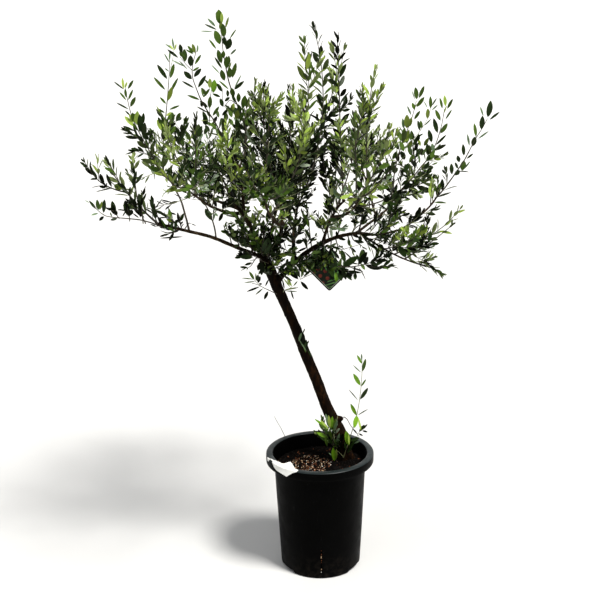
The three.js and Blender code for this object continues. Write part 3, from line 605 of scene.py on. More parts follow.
def leaf_mesh(name, rows, top, under):
    """Every leaf is a thin closed blade: an upper and a lower skin that meet at its edge."""
    a = np.array([r[:9] for r in rows], float)
    length, width, curl, fold, twist = np.array([r[9:14] for r in rows], float).T
    base, d = a[:, 0:3], unit(a[:, 3:6])
    up = unit(a[:, 6:9] - d * np.sum(a[:, 6:9] * d, 1, keepdims=True))
    count, k = len(rows), len(LEAF_AT)
    per = 2 + 4 * k
    v = np.empty((count, per, 3))
    v[:, 0] = base
    col = lambda x: x[:, None]
    for i, (s, h) in enumerate(zip(LEAF_AT, LEAF_HALF)):
        ds = unit(d - up * col(2 * curl * s))
        us = unit(up + d * col(2 * curl * s))
        left = np.cross(us, ds)
        c, sn = col(np.cos(twist * s)), col(np.sin(twist * s))
        left, us = left * c + us * sn, us * c - left * sn
        mid = base + col(length) * (d * s * col(1 - 0.5 * curl ** 2 * s) - up * col(curl) * s * s)
        half = col(width / 2 * h)
        rise = us * half * col(fold)
        v[:, 1 + 4 * i] = mid + left * half + rise
        v[:, 2 + 4 * i] = mid - left * half + rise
        v[:, 3 + 4 * i] = mid + us * 0.00012
        v[:, 4 + 4 * i] = mid - us * (0.0002 + 0.0004 * h)
    v[:, -1] = base + col(length) * (d * col(1 - 0.5 * curl ** 2) - up * col(curl))
    e, faces, mats = per - 1, [(0, 2, 3), (0, 3, 1)], [0, 0]
    for i in range(k - 1):
        l, r, t, b = (1 + 4 * i + j for j in range(4))
        faces += [(t, r, r + 4, t + 4), (l, t, t + 4, l + 4)]
        mats += [0, 0]
    l, r, t, b = (1 + 4 * (k - 1) + j for j in range(4))
    faces += [(t, r, e), (l, t, e)]
    mats += [0, 0]
    faces += [(0, 4, 2), (0, 1, 4)]
    mats += [1, 1]
    for i in range(k - 1):
        l, r, t, b = (1 + 4 * i + j for j in range(4))
        faces += [(b, b + 4, r + 4, r), (l, l + 4, b + 4, b)]
        mats += [1, 1]
    l, r, t, b = (1 + 4 * (k - 1) + j for j in range(4))
    faces += [(b, e, r), (l, e, b)]
    mats += [1, 1]
    every = [tuple(x + o for x in f) for o in range(0, count * per, per) for f in faces]
    ob = mesh_object(name, v.reshape(-1, 3), every, [top, under], np.tile(mats, count))
    me = ob.data
    ed = np.empty(len(me.edges) * 2, np.int32)
    me.edges.foreach_get("vertices", ed)
    local = ed.reshape(-1, 2) % per
    rim = (local == 0) | (local == e) | (local % 4 == 1) | (local % 4 == 2)
    rim &= ~((local == e) & False)
    sharp = me.attributes.get("sharp_edge") or me.attributes.new("sharp_edge", "BOOLEAN", "EDGE")
    sharp.data.foreach_set("value", rim.all(1))
    return ob


# ---- growing: a limb carries pairs of leaves and side shoots, and each of those carries its own -----
class Line:
    def __init__(self, points, r0, r1):
        self.p = np.asarray(points, float)
        self.s = np.concatenate([[0], np.cumsum(np.linalg.norm(np.diff(self.p, axis=0), axis=1))])
        self.length = self.s[-1]
        self.t, self.u, self.v = frames(self.p)
        self.r0, self.r1 = r0, r1

    def at(self, s):
        i = min(max(int(np.searchsorted(self.s, s)) - 1, 0), len(self.p) - 2)
        w = (s - self.s[i]) / max(self.s[i + 1] - self.s[i], 1e-9)
        f = lambda a: a[i] * (1 - w) + a[i + 1] * w
        return f(self.p), unit(f(self.t)), unit(f(self.u)), unit(f(self.v)), self.r0 + (self.r1 - self.r0) * s / self.length


twigs = {"brown": Batch(), "green": Batch()}
# torn bark and small leaves at the old graft on the trunk: from, to, width, tone
TRUNK_BITS = [
    ((-49.5, -2, 588.6), (-41.9, -2, 611.2), 6.9, "grey"),
    ((-51.3, -3, 599.2), (-29.9, -3, 562.4), 3.2, "grey"),
    ((-37.1, -1, 566.4), (-38.1, -1, 611.1), 11.3, "deep"),
    ((-30.3, 0, 563.4), (-31, 0, 592.9), 8.3, "deep"),
    ((-36.6, -2, 569.3), (-29, -2, 592.2), 5.4, "dark"),
    ((-40, -2, 607.6), (-33.6, -2, 621.7), 3.7, "dark"),
    ((-29.7, -2, 579.4), (-24.2, -2, 591.6), 3.7, "dark"),
    ((-28.1, -1, 568.9), (-18.2, -1, 548.2), 4.4, "dark"),
    ((-31.8, -2, 559), (-37.7, -2, 579.5), 3.9, "mid"),
]
# leaves that stand clear of the others, set one by one: stalk, tip, width, tone
SET_LEAVES = [
    ((104.7, 0, 535.9), (103.6, -4, 556.5), 3.9, "grey"),
    ((105.7, 0, 528.1), (92.1, -6, 553.5), 7.0, "fresh"),
    ((106.3, 0, 507.4), (113.6, -6, 544.2), 9.0, "mid"),
    ((104.1, 0, 504.8), (83.6, 8, 523.1), 2.9, "grey"),
    ((102.4, 0, 471), (83.2, -8, 506.6), 10.4, "fresh"),
    ((102.4, 0, 468.4), (116.2, 8, 486.2), 4.8, "mid"),
    ((100.1, 0, 434.3), (119.7, -8, 469.7), 10.2, "dark"),
    ((97.1, 0, 431.7), (72.1, 10, 459.9), 3.4, "dark"),
    ((92.7, 0, 392), (76.9, -8, 428.4), 9.7, "fresh"),
    ((93.7, 0, 393.3), (121.2, 10, 406.3), 2.9, "dark"),
    ((93, -4, 397.6), (85.4, -16, 366.7), 11.6, "fresh"),
    ((94.6, -2, 392.8), (102.5, -12, 359.5), 5.3, "bright"),
    ((72.3, 0, 311.9), (65.2, -14, 359.5), 14.0, "fresh"),
    ((73.7, -2, 312.7), (71.1, -15, 353.1), 4.8, "bright"),
    ((94.6, 0, 343.9), (81.7, -6, 361.3), 5.3, "deep"),
    ((98.3, 0, 349.2), (111.4, -8, 372.4), 8.2, "dark"),
    ((103.3, 0, 353.2), (119.4, -4, 371.9), 5.3, "dark"),
    ((105.8, 0, 353.1), (119.4, -6, 351.4), 4.8, "deep"),
    ((97.1, 0, 345.2), (108, -6, 341.9), 4.4, "deep"),
    ((103.3, 0, 357.2), (99.1, -6, 373), 5.8, "dark"),
    ((75.8, 0, 325.3), (99.2, -6, 337), 9.2, "dark"),
    ((85.9, 0, 318.5), (99.9, -8, 329.7), 4.4, "grey"),
    ((73.3, 0, 303.8), (86.7, -8, 328.6), 7.7, "dark"),
    ((68.3, 0, 293), (81.7, -8, 315.2), 7.3, "dark"),
    ((65.8, 0, 301.2), (61.7, -8, 326.2), 5.8, "dark"),
    ((21.9, -8, 361.6), (-12.6, -20, 394), 6.5, "fresh"),
    ((24.4, -8, 358.9), (0.7, -22, 392.5), 5.8, "bright"),
    ((23.1, -8, 356.3), (3, -24, 377.7), 4.8, "mid"),
    ((24.4, -8, 361.6), (14.6, -20, 407.3), 8.2, "grey"),
    ((26.1, -8, 361.6), (21.9, -24, 405.1), 7.7, "bright"),
    ((29.6, -8, 361.5), (31.4, -20, 400.8), 8.0, "fresh"),
    ((32.6, -8, 356.1), (39.3, -18, 393.3), 6.3, "mid"),
    ((34.6, -8, 353.4), (44.1, -22, 390.9), 7.3, "grey"),
    ((28.1, -6, 339.3), (9.1, -22, 368.9), 6.8, "dark"),
    ((23.1, -6, 336.7), (-8.7, -20, 357.9), 8.5, "fresh"),
    ((19.3, -6, 326), (-2.1, -20, 348.3), 6.3, "dark"),
    ((19, -6, 312.5), (12.8, -20, 348.1), 6.8, "mid"),
    ((21.9, -6, 339.4), (26.1, -26, 372.9), 6.8, "mid"),
    ((29.4, -4, 327.7), (26.6, -24, 364.1), 7.7, "mid"),
    ((29.4, -4, 335.8), (34.6, -22, 364.5), 5.8, "dark"),
    ((33.2, 0, 317.8), (17.8, -18, 341.8), 6.3, "dark"),
    ((42, 0, 320.4), (48.9, -16, 353.9), 6.3, "grey"),
    ((50.7, 0, 301.4), (55.1, -16, 335.1), 6.3, "deep"),
    ((45.7, 0, 306.9), (35.2, -18, 341.6), 6.8, "dark"),
    ((36.3, -8, 273.9), (32.5, -20, 317), 11.1, "fresh"),
    ((39.8, -8, 277.9), (40.9, -20, 312.9), 6.8, "bright"),
    ((34.3, -8, 288.9), (22, -20, 302.4), 3.6, "grey"),
    ((35.3, -8, 286.1), (27.5, -20, 309.1), 5.3, "dark"),
    ((-496.4, -118, 939.5), (-510.3, -125, 961.1), 6.3, "dark"),
    ((-509.8, -124, 955.3), (-518.9, -128, 962.8), 2.2, "grey"),
    ((-492.1, -118, 937.2), (-491.8, -128, 964.1), 9.0, "mid"),
    ((-489.9, -118, 937.2), (-481.7, -122, 959.1), 6.0, "olive"),
    ((-482, -115, 929.8), (-475.5, -125, 963.3), 10.2, "dark"),
    ((-492.7, -117, 931.4), (-507.4, -128, 928.6), 4.6, "grey"),
    ((-481.6, -113, 923.7), (-491.4, -120, 914.3), 8.0, "deep"),
    ((-457.8, -108, 924.8), (-460.6, -118, 958.9), 11.6, "dark"),
    ((-452.6, -108, 917.2), (-467.1, -118, 914.9), 6.8, "dark"),
    ((-464.4, -110, 920.7), (-469.3, -104, 931.1), 3.4, "mid"),
    ((-428.9, -100, 918.4), (-433.5, -110, 958.1), 13.6, "dark"),
    ((-442.4, -104, 919.3), (-433.7, -98, 934.1), 3.1, "dark"),
    ((-405.9, -94, 914.3), (-419.1, -102, 927.1), 4.6, "deep"),
    ((-404.3, -94, 914.7), (-397.2, -104, 947.6), 11.6, "dark"),
    ((-394.5, -92, 913.1), (-401.6, -86, 924), 2.7, "dark"),
    ((-372.6, -96, 931.8), (-376.1, -104, 961.1), 9.7, "dark"),
    ((-370.2, -96, 935.2), (-351.1, -92, 958.6), 2.7, "dark"),
    ((-372.6, -96, 931.1), (-355.3, -92, 937), 2.7, "mid"),
    ((-374.7, -96, 934.1), (-391.2, -100, 940), 2.7, "dark"),
    ((-386, -94, 935.1), (-383.9, -98, 951.6), 2.7, "mid"),
    ((-336.5, -92, 908.9), (-335.6, -100, 935.9), 9.7, "fresh"),
    ((-346.8, -88, 888.7), (-357.3, -94, 912.3), 5.6, "mid"),
    ((-341.9, -88, 886.3), (-361.9, -92, 906.9), 6.0, "dark"),
    ((-335.5, -88, 886.2), (-330.9, -96, 910.7), 7.7, "dark"),
    ((-326.7, -86, 884.6), (-323, -94, 910.2), 7.3, "dark"),
    ((-306.6, -84, 868.8), (-361.5, -96, 868), 4.1, "deep"),
    ((-321.9, -90, 920.9), (-335.6, -96, 926.1), 4.4, "deep"),
    ((-369.6, -90, 895.1), (-381.4, -96, 900.3), 3.9, "dark"),
    ((-328, -86, 881.1), (-343.1, -94, 893.2), 6.3, "mid"),
    ((-332.8, -92, 899.6), (-339.7, -98, 915.7), 6.8, "dark"),
    ((-151.2, -50, 811.3), (-184.2, -62, 814.4), 11.6, "dark"),
    ((-167.2, -48, 827.7), (-187.7, -56, 825.5), 5.1, "deep"),
    ((-134.2, -44, 800.1), (-142.5, -52, 779.3), 10.9, "deep"),
    ((-131.2, -44, 797.7), (-134.1, -54, 768.1), 11.1, "deep"),
    ((-144.3, -48, 831), (-171, -50, 855.2), 5.3, "deep"),
    ((-167.8, -48, 830.1), (-173.5, -54, 856.3), 7.3, "dark"),
    ((-130.6, -52, 822.2), (-120.6, -66, 855.7), 11.6, "dark"),
    ((-126.5, -52, 817.3), (-109.5, -60, 842.5), 8.2, "dark"),
    ((-136.3, -52, 825.8), (-143.5, -62, 851.7), 8.7, "dark"),
    ((-151.6, -36, 752.6), (-162.9, -44, 775.8), 7.0, "mid"),
    ((-150.8, -36, 754.3), (-182.2, -46, 760.3), 3.6, "mid"),
    ((-148.6, -36, 749.4), (-176.3, -40, 747.4), 3.4, "mid"),
    ((-145.3, -36, 748.9), (-142.6, -46, 768.2), 8.2, "dark"),
    ((-148.1, -36, 750.1), (-147.7, -44, 771.9), 3.6, "olive"),
    ((-144, -34, 744), (-137.5, -40, 763.1), 7.3, "deep"),
    ((-141.7, -34, 742.2), (-134.5, -26, 740.6), 5.3, "deep"),
    ((-137.8, -34, 736.6), (-170.9, -42, 725.9), 5.1, "deep"),
    ((-131.4, -30, 731.3), (-150.5, -36, 716.5), 3.9, "dark"),
    ((-119.9, -26, 723.3), (-129.5, -36, 704.7), 8.0, "deep"),
    ((-118.6, -24, 751.7), (-126.6, -30, 735.4), 4.1, "deep"),
    ((-81.9, -20, 722.5), (-51.5, -30, 732), 3.4, "olive"),
    ((-81.9, -20, 721.2), (-50.5, -26, 720.4), 2.9, "mid"),
    ((-66.8, -22, 729.6), (-82.9, -30, 753.9), 3.9, "bright"),
    ((-63.4, -22, 732.1), (-74.9, -32, 753), 6.3, "bright"),
    ((-61, -22, 732.5), (-49.7, -28, 746.8), 3.6, "mid"),
    ((-66.9, -22, 724.5), (-60, -30, 702.6), 4.1, "deep"),
    ((-81.2, -20, 724.4), (-86.3, -26, 751.7), 4.1, "deep"),
    ((-72.1, -22, 735.9), (-71.1, -28, 756.9), 3.1, "olive"),
    ((-44.1, -45, 758.2), (-57, -56, 791.1), 9.0, "dark"),
    ((-45.8, -45, 754.1), (-74.7, -56, 778.6), 8.5, "deep"),
    ((-41.3, -45, 758.2), (-33.7, -56, 790), 7.5, "mid"),
    ((-37.1, -45, 759.8), (-14.6, -52, 782.4), 6.5, "dark"),
    ((-43.5, -45, 751), (-25, -56, 732.9), 9.0, "deep"),
    ((-52.5, -42, 784.6), (-19.1, -50, 800.4), 4.1, "dark"),
    ((-41.3, -42, 795.1), (-8.5, -48, 801.7), 4.4, "mid"),
    ((-50.3, -42, 820.6), (-26.9, -50, 832.7), 5.6, "deep"),
    ((-63.6, -45, 789.8), (-59.2, -52, 816.4), 9.4, "mid"),
    ((-61.3, -45, 819.7), (-56.2, -52, 847.3), 9.7, "deep"),
    ((-97, -50, 842.6), (-80.9, -56, 855.2), 6.5, "deep"),
    ((26.4, -70, 832.7), (47.4, -80, 811), 9.7, "deep"),
    ((27.8, -84, 832.9), (42.1, -90, 809.6), 2.7, "grey"),
    ((13.7, -70, 824.1), (12.9, -76, 841.2), 3.4, "grey"),
    ((51.8, -70, 832.4), (59.9, -82, 803.1), 11.6, "dark"),
    ((60.3, -74, 807.9), (55.9, -84, 793.7), 5.8, "grey"),
    ((44.2, -72, 781.5), (51.3, -86, 815.4), 8.2, "mid"),
    ((39.5, -72, 779.2), (36.7, -88, 815.3), 8.0, "dark"),
    ((32.6, -72, 777.4), (27.6, -86, 813.3), 8.5, "dark"),
    ((23.8, -72, 781.8), (15.7, -84, 812.4), 9.0, "deep"),
    ((16.9, -78, 790.4), (9.8, -88, 806.3), 5.1, "grey"),
    ((49.5, -72, 786.2), (68.3, -80, 796.8), 7.0, "dark"),
    ((62.7, -72, 799.1), (73.1, -78, 789.9), 6.5, "deep"),
    ((-15.4, -70, 777.1), (-6.8, -80, 805.4), 10.6, "deep"),
    ((-2.2, -70, 781), (2.4, -82, 812.8), 9.7, "deep"),
    ((9.9, -70, 786.3), (4.8, -82, 817.5), 9.7, "deep"),
    ((18.9, -70, 811.1), (1.5, -80, 802.9), 7.3, "deep"),
    ((-8.9, -70, 810.3), (8.1, -80, 826.2), 8.2, "dark"),
    ((2.5, -74, 802), (26.3, -84, 815), 5.8, "dark"),
    ((21, -72, 777.3), (42.5, -86, 794.1), 8.0, "mid"),
    ((46.5, -72, 780.3), (52, -82, 759.3), 12.1, "dark"),
    ((39.5, -72, 779.2), (39.9, -84, 756.4), 8.7, "fresh"),
    ((27.9, -72, 779.4), (32.6, -82, 760), 8.2, "deep"),
    ((60.5, -70, 779.6), (98.3, -82, 777.5), 8.0, "deep"),
    ((59.3, -70, 773), (77, -78, 758.9), 7.0, "dark"),
    ((83.6, -72, 777.4), (83.6, -80, 760.8), 9.0, "dark"),
    ((82.6, -72, 777.9), (82.2, -80, 794.5), 5.1, "dark"),
    ((68.8, -70, 800.4), (92.6, -76, 796.8), 3.4, "dark"),
    ((71.8, -66, 836.7), (67.3, -74, 856.9), 8.5, "dark"),
    ((95.6, -72, 799.1), (85.8, -80, 821.1), 8.5, "dark"),
    ((95.1, -72, 800.3), (99.8, -84, 834.2), 9.9, "mid"),
    ((96.3, -72, 798.6), (106.1, -82, 784.7), 7.5, "mid"),
    ((55.9, -70, 828.5), (81.7, -76, 803.8), 4.1, "deep"),
    ((27.8, -70, 839.7), (51.8, -80, 833.5), 5.8, "dark"),
    ((62.1, -76, 800), (76, -84, 804.5), 3.4, "dark"),
    ((20, -74, 815.5), (33.5, -84, 839.8), 7.3, "deep"),
    ((7.5, -70, 828.9), (19.5, -78, 844.3), 6.3, "deep"),
    ((-442.5, 19.6, 1193.5), (-466.6, 24.6, 1212.2), 4.2, "dark"),
    ((-444.1, 19.6, 1193.5), (-444.4, 10.6, 1221.3), 7.8, "young"),
    ((-441.5, 19.9, 1196.2), (-433.9, 15.9, 1211.1), 7.8, "young"),
    ((-434.9, 19.6, 1193.9), (-418.6, 10.6, 1215.5), 7.6, "mid"),
    ((-438.6, 17.5, 1174.8), (-439.4, 13.5, 1196.6), 6.7, "mid"),
    ((-438.4, 16.9, 1169.2), (-452.5, 7.9, 1189.5), 5.7, "mid"),
    ((-434.9, 16.9, 1169.2), (-421.2, 12.9, 1194.8), 6.0, "mid"),
    ((-430.7, 15.3, 1153.8), (-415.5, 6.3, 1178.2), 9.3, "mid"),
    ((-432.5, 14.8, 1148.7), (-463.5, 19.8, 1165.1), 4.5, "dark"),
    ((-429.8, 12.8, 1134.2), (-441.2, 3.8, 1147.6), 4.5, "dark"),
    ((-420.5, 8.2, 1109.4), (-443.1, 4.2, 1134.6), 10.7, "bright"),
    ((-423.1, 10, 1118.4), (-423.7, 1, 1143.7), 9.9, "mid"),
    ((-416.5, 8.7, 1112), (-412.6, 4.7, 1146.5), 13.1, "bright"),
    ((-421, 10.1, 1118.8), (-431.8, 1.1, 1139.7), 8.7, "bright"),
    ((-419.4, 9.5, 1116.1), (-419.4, 5.5, 1141), 6.7, "dark"),
    ((-406.8, 5.2, 1094.6), (-406.7, -3.8, 1139.5), 14.2, "dark"),
    ((-403.8, 8.8, 1112.3), (-398.5, 4.8, 1141.8), 9.6, "dark"),
    ((-420.3, 6.2, 1099.7), (-447.6, -2.8, 1113.7), 5.7, "dark"),
    ((-397, 4, 1087.7), (-380.7, 0, 1103.2), 8.7, "dark"),
    ((-414, 6.4, 1100.3), (-423.8, -2.6, 1119.4), 7.0, "mid"),
    ((-358.6, 155.1, 1208.4), (-382.2, 151.1, 1245.6), 10.5, "dark"),
    ((-352.9, 159.3, 1248.1), (-364.2, 150.3, 1271.4), 3.9, "grey"),
    ((-353, 155.3, 1210.4), (-341, 151.3, 1247.2), 9.9, "mid"),
    ((-355, 157.1, 1228.2), (-364.2, 148.1, 1236.8), 3.3, "grey"),
    ((-364.1, 152.8, 1183.1), (-392, 148.8, 1216.1), 7.8, "mid"),
    ((-356.1, 152, 1174.5), (-331.4, 143, 1214.4), 7.3, "mid"),
    ((-360.7, 150.9, 1157.4), (-348, 146.9, 1193.3), 12.5, "olive"),
    ((-363.9, 150.5, 1150.8), (-378.6, 141.5, 1168.8), 6.7, "mid"),
    ((-359.3, 149.7, 1137.3), (-331, 145.7, 1147.9), 5.7, "mid"),
    ((-367.7, 149.3, 1129.8), (-387.1, 140.3, 1141.9), 5.7, "mid"),
    ((-369.9, 148.5, 1116.6), (-385.3, 153.5, 1137.6), 5.1, "mid"),
    ((-376.2, 145.9, 1085.9), (-387.3, 136.9, 1115.3), 13.6, "bright"),
    ((-353.2, 159.7, 1252.8), (-351.1, 164.8, 1278.9), 4.8, "grey"),
    ((-373.4, 146, 1087.8), (-360.4, 137, 1119.1), 8.7, "mid"),
    ((-366.7, 148.9, 1122.6), (-351.1, 144.9, 1131.6), 7.0, "young"),
    ((-369.4, 147.5, 1103.4), (-377.7, 138.5, 1122.1), 6.7, "dark"),
    ((-373.4, 146.6, 1093.8), (-359.5, 142.6, 1103), 5.4, "mid"),
    ((-310, -98, 1282.6), (-328.2, -102, 1295.5), 5.7, "grey"),
    ((-309.9, -98, 1281.3), (-319.4, -107, 1293.8), 5.1, "young"),
    ((-310.2, -98, 1283.4), (-313.8, -93, 1308), 4.2, "grey"),
    ((-309.7, -98, 1281.3), (-303.6, -107, 1295.3), 4.2, "young"),
    ((-300.9, -93.7, 1264.9), (-325.1, -97.7, 1284), 6.7, "dark"),
    ((-294, -96.8, 1275.8), (-296.5, -105.8, 1294.9), 9.0, "dark"),
    ((-294.7, -94.1, 1266.3), (-296.6, -98.1, 1282.7), 7.0, "mid"),
    ((-288.4, -90.8, 1255.6), (-287.8, -99.8, 1284.8), 12.2, "mid"),
    ((-284.1, -93.9, 1265.5), (-293.4, -97.9, 1276), 7.0, "mid"),
    ((-276.7, -87.3, 1245.7), (-275, -96.3, 1271.3), 13.1, "dark"),
    ((-267.9, -96.4, 1274.2), (-280.5, -100.4, 1291.4), 6.7, "mid"),
    ((-264.9, -96.5, 1274.4), (-269.3, -105.5, 1295.2), 8.1, "olive"),
    ((-260.4, -96.9, 1275.8), (-258.9, -91.9, 1292.7), 4.2, "grey"),
    ((-268.4, -96, 1272.8), (-284.9, -105, 1283.6), 4.8, "mid"),
    ((-268.3, -88.9, 1249.9), (-252.3, -92.9, 1272.3), 6.4, "mid"),
    ((-272.5, -76.9, 1223.3), (-254, -85.9, 1242.7), 9.6, "dark"),
    ((-274.2, -83.6, 1236.4), (-258.8, -78.6, 1245.3), 5.1, "mid"),
    ((-275.6, -74.7, 1218.5), (-292.7, -83.7, 1236.8), 11.3, "dark"),
    ((-288.5, -87.3, 1245.9), (-318.9, -82.3, 1261.5), 4.5, "grey"),
    ((-283.1, -85, 1239.4), (-301.1, -94, 1260.1), 3.3, "grey"),
    ((-271.9, -69, 1199.4), (-299.1, -73, 1215.5), 6.4, "dark"),
    ((-265.2, -69, 1199.3), (-244.6, -78, 1227.6), 9.0, "dark"),
    ((-261.2, -58.4, 1173.1), (-289.9, -62.4, 1184.4), 6.4, "mid"),
    ((-246.2, -62.8, 1182.6), (-257, -71.8, 1200.5), 8.7, "mid"),
    ((-254.8, -61, 1177.8), (-238.1, -65, 1198.6), 7.0, "mid"),
    ((-238.3, -68.8, 1198.3), (-236.9, -77.7, 1220.9), 10.2, "bright"),
    ((-231.9, -64.6, 1187.1), (-227, -68.6, 1217.8), 13.6, "fresh"),
    ((-240.1, -71.8, 1207.8), (-247.6, -80.8, 1218.8), 4.8, "mid"),
    ((-243.1, -41.8, 1151.7), (-239.8, -45.8, 1180.7), 10.7, "mid"),
    ((-245.1, -44, 1154.5), (-263.6, -53, 1171.3), 7.8, "dark"),
    ((-258.6, -45.1, 1156.1), (-261.3, -49.1, 1169.3), 8.7, "dark"),
    ((-249.8, -17, 1112.6), (-260.1, -26, 1146.4), 11.6, "dark"),
    ((-253, -17, 1112.7), (-259.2, -21, 1130.8), 11.6, "dark"),
    ((-247.1, -35.3, 1142.8), (-271.6, -44.3, 1157.9), 5.1, "dark"),
    ((-238.2, -29.5, 1134.4), (-221.5, -33.5, 1157.2), 7.3, "mid"),
    ((-214.9, -61.7, 1179.1), (-233, -70.7, 1187), 6.4, "dark"),
    ((-211.1, -65.8, 1190.2), (-222.4, -69.8, 1209.4), 9.6, "dark"),
    ((-195.1, -67.7, 1194.8), (-217.6, -76.7, 1215.8), 5.1, "mid"),
    ((-212.1, -45.3, 1155.8), (-218.3, -49.3, 1175.5), 12.5, "dark"),
    ((-207.8, -55.8, 1169.2), (-194.6, -64.8, 1178.4), 7.8, "dark"),
    ((-187.5, -35.3, 1142), (-209.8, -30.3, 1161.3), 5.1, "dark"),
    ((-257.7, -69.2, 1199.6), (-251.8, -78.2, 1179.4), 3.9, "mid"),
    ((-242.7, -26.7, 1130.5), (-251.2, -30.7, 1149.8), 7.0, "dark"),
    ((-221, 48.8, 1335.5), (-221.7, 44.8, 1368.8), 18.3, "mid"),
    ((-215.7, 48.8, 1336.5), (-214.9, 39.8, 1362), 9.3, "bright"),
    ((-224.8, 49, 1351), (-226, 45, 1364.2), 7.6, "dark"),
    ((-226.1, 47.8, 1323.6), (-255.2, 38.9, 1337), 5.7, "dark"),
    ((-229.1, 48.3, 1329.9), (-248, 44.3, 1349.5), 6.7, "grey"),
    ((-235.6, 47.5, 1319.5), (-265.3, 38.5, 1321.8), 3.3, "grey"),
    ((-208.1, 48.1, 1326.3), (-199.1, 44.1, 1352.3), 5.7, "olive"),
    ((-211.5, 46.6, 1305.5), (-212.5, 37.6, 1337.3), 14.2, "mid"),
    ((-220.2, 45.7, 1290), (-231.9, 41.7, 1323.1), 16.3, "mid"),
    ((-199.6, 46.4, 1302.4), (-181.9, 37.4, 1325), 5.1, "mid"),
    ((-229, 45.1, 1279.9), (-245.9, 41.1, 1303.2), 5.7, "mid"),
    ((-206.7, 45, 1278.7), (-196, 36, 1305), 16.0, "dark"),
    ((-209.7, 45.6, 1288.1), (-211.1, 41.6, 1309.6), 10.7, "dark"),
    ((-218.4, 43.1, 1247.1), (-225.9, 34.1, 1280.5), 12.5, "mid"),
    ((-214.6, 43.9, 1259.8), (-213, 39.9, 1277.6), 9.9, "mid"),
    ((-207.2, 42.2, 1235.7), (-206.1, 33.2, 1265.6), 13.6, "mid"),
    ((-202.3, 42.9, 1243.7), (-201.1, 38.9, 1266.6), 9.0, "mid"),
    ((-198.7, 44.3, 1267.6), (-183.1, 35.3, 1281.1), 5.1, "grey"),
    ((-217.1, 42.2, 1235.8), (-234.4, 38.2, 1264.2), 6.4, "dark"),
    ((-222.3, 41.2, 1224.6), (-242.3, 32.2, 1247.1), 3.9, "grey"),
    ((-200.5, 40.3, 1214.5), (-198.8, 36.3, 1239.7), 13.6, "mid"),
    ((-195.5, 40.3, 1214.4), (-184.3, 31.3, 1251), 10.5, "mid"),
    ((-212.7, 39.8, 1208.5), (-219.2, 35.8, 1235.3), 13.6, "mid"),
    ((-191.9, 38.3, 1188.8), (-166.8, 29.3, 1209.3), 8.4, "dark"),
    ((-192.1, 38.4, 1189.3), (-173.5, 43.4, 1223.6), 3.9, "grey"),
    ((-192.6, 37, 1172.5), (-196.7, 28, 1194.5), 11.9, "mid"),
    ((-205.8, 37, 1172.7), (-207, 33, 1189.6), 9.0, "dark"),
    ((-181.3, 35.8, 1159.4), (-181.1, 26.8, 1183.1), 10.7, "mid"),
    ((-173, 34, 1144.8), (-165, 30, 1177.1), 13.1, "mid"),
    ((-164.8, 34, 1144.7), (-156.6, 25, 1170.3), 10.2, "dark"),
    ((-220.8, 47.9, 1324.4), (-215.3, 43.9, 1341.9), 8.1, "olive"),
    ((-205.7, 41.6, 1229.4), (-195.1, 32.6, 1252.2), 4.8, "olive"),
    ((-187.5, 35.7, 1159.1), (-197.1, 31.7, 1177.6), 8.7, "dark"),
    ((242.3, 116, 1155.2), (237.8, 112, 1186.2), 11.3, "mid"),
    ((246.4, 116, 1158.3), (258.4, 107, 1189.2), 9.0, "mid"),
    ((237.8, 116, 1155.3), (229.8, 121, 1178.6), 3.9, "grey"),
    ((240.9, 113.4, 1137.7), (258.9, 104.4, 1163.5), 9.6, "mid"),
    ((237.8, 112.4, 1131.9), (229.9, 108.4, 1149.6), 9.0, "mid"),
    ((229.1, 110.2, 1118.9), (217.5, 101.2, 1142.8), 5.1, "grey"),
    ((234.8, 108, 1108.5), (249.4, 104, 1131), 7.8, "mid"),
    ((218, 103.4, 1087.7), (216.5, 94.4, 1123.2), 14.5, "olive"),
    ((210.5, 103.4, 1087.8), (206.2, 99.4, 1113.7), 9.9, "grey"),
    ((224.5, 104.5, 1092.3), (227.5, 95.5, 1116.9), 8.7, "olive"),
    ((172.5, 98.6, 1068.5), (186.7, 94.6, 1090.4), 9.6, "dark"),
    ((198.2, 98.4, 1067.5), (190.5, 89.4, 1091.1), 9.9, "mid"),
    ((207.1, 97.7, 1064.6), (211.4, 93.7, 1092.7), 11.6, "mid"),
    ((227.1, 96.4, 1058.9), (226.7, 87.4, 1086.3), 9.0, "mid"),
    ((215.5, 96.6, 1059.8), (222.3, 92.6, 1087.9), 8.7, "olive"),
    ((236.8, 113.2, 1136.6), (243.2, 104.2, 1149.6), 4.2, "olive"),
    ((286.7, 197.9, 1126.7), (284.7, 193.9, 1159.3), 9.0, "mid"),
    ((288.8, 198, 1134.2), (300.1, 189, 1155.1), 4.5, "grey"),
    ((288.5, 197.4, 1123.5), (304.9, 202.4, 1137.7), 3.9, "grey"),
    ((279.7, 198, 1128.7), (267.2, 189, 1148.4), 3.9, "grey"),
    ((278.7, 193.9, 1102.5), (278.7, 189.9, 1129.9), 10.7, "olive"),
    ((260.2, 188.4, 1073.9), (252.3, 179.4, 1101.9), 10.2, "dark"),
    ((264.7, 189.5, 1079.2), (260.1, 185.5, 1101), 8.7, "mid"),
    ((316.4, 198, 1127), (306.8, 189, 1155.4), 11.9, "mid"),
    ((323.9, 198, 1132.3), (319, 194, 1161.1), 10.7, "bright"),
    ((327.3, 197.9, 1126.1), (339.8, 188.9, 1152.5), 7.8, "mid"),
    ((322.6, 193.6, 1100.3), (338.7, 189.6, 1126.9), 5.7, "mid"),
    ((311.7, 193.1, 1097.5), (296.1, 184.1, 1127), 10.2, "mid"),
    ((304.3, 187.1, 1067), (292.1, 183.1, 1106.4), 11.9, "dark"),
    ((309.8, 187, 1066.5), (326.5, 178, 1094.2), 12.5, "mid"),
    ((297.3, 178.7, 1038.8), (324.1, 174.7, 1066.1), 6.4, "dark"),
    ((289.2, 180.8, 1044.9), (278.9, 171.7, 1079.6), 11.9, "dark"),
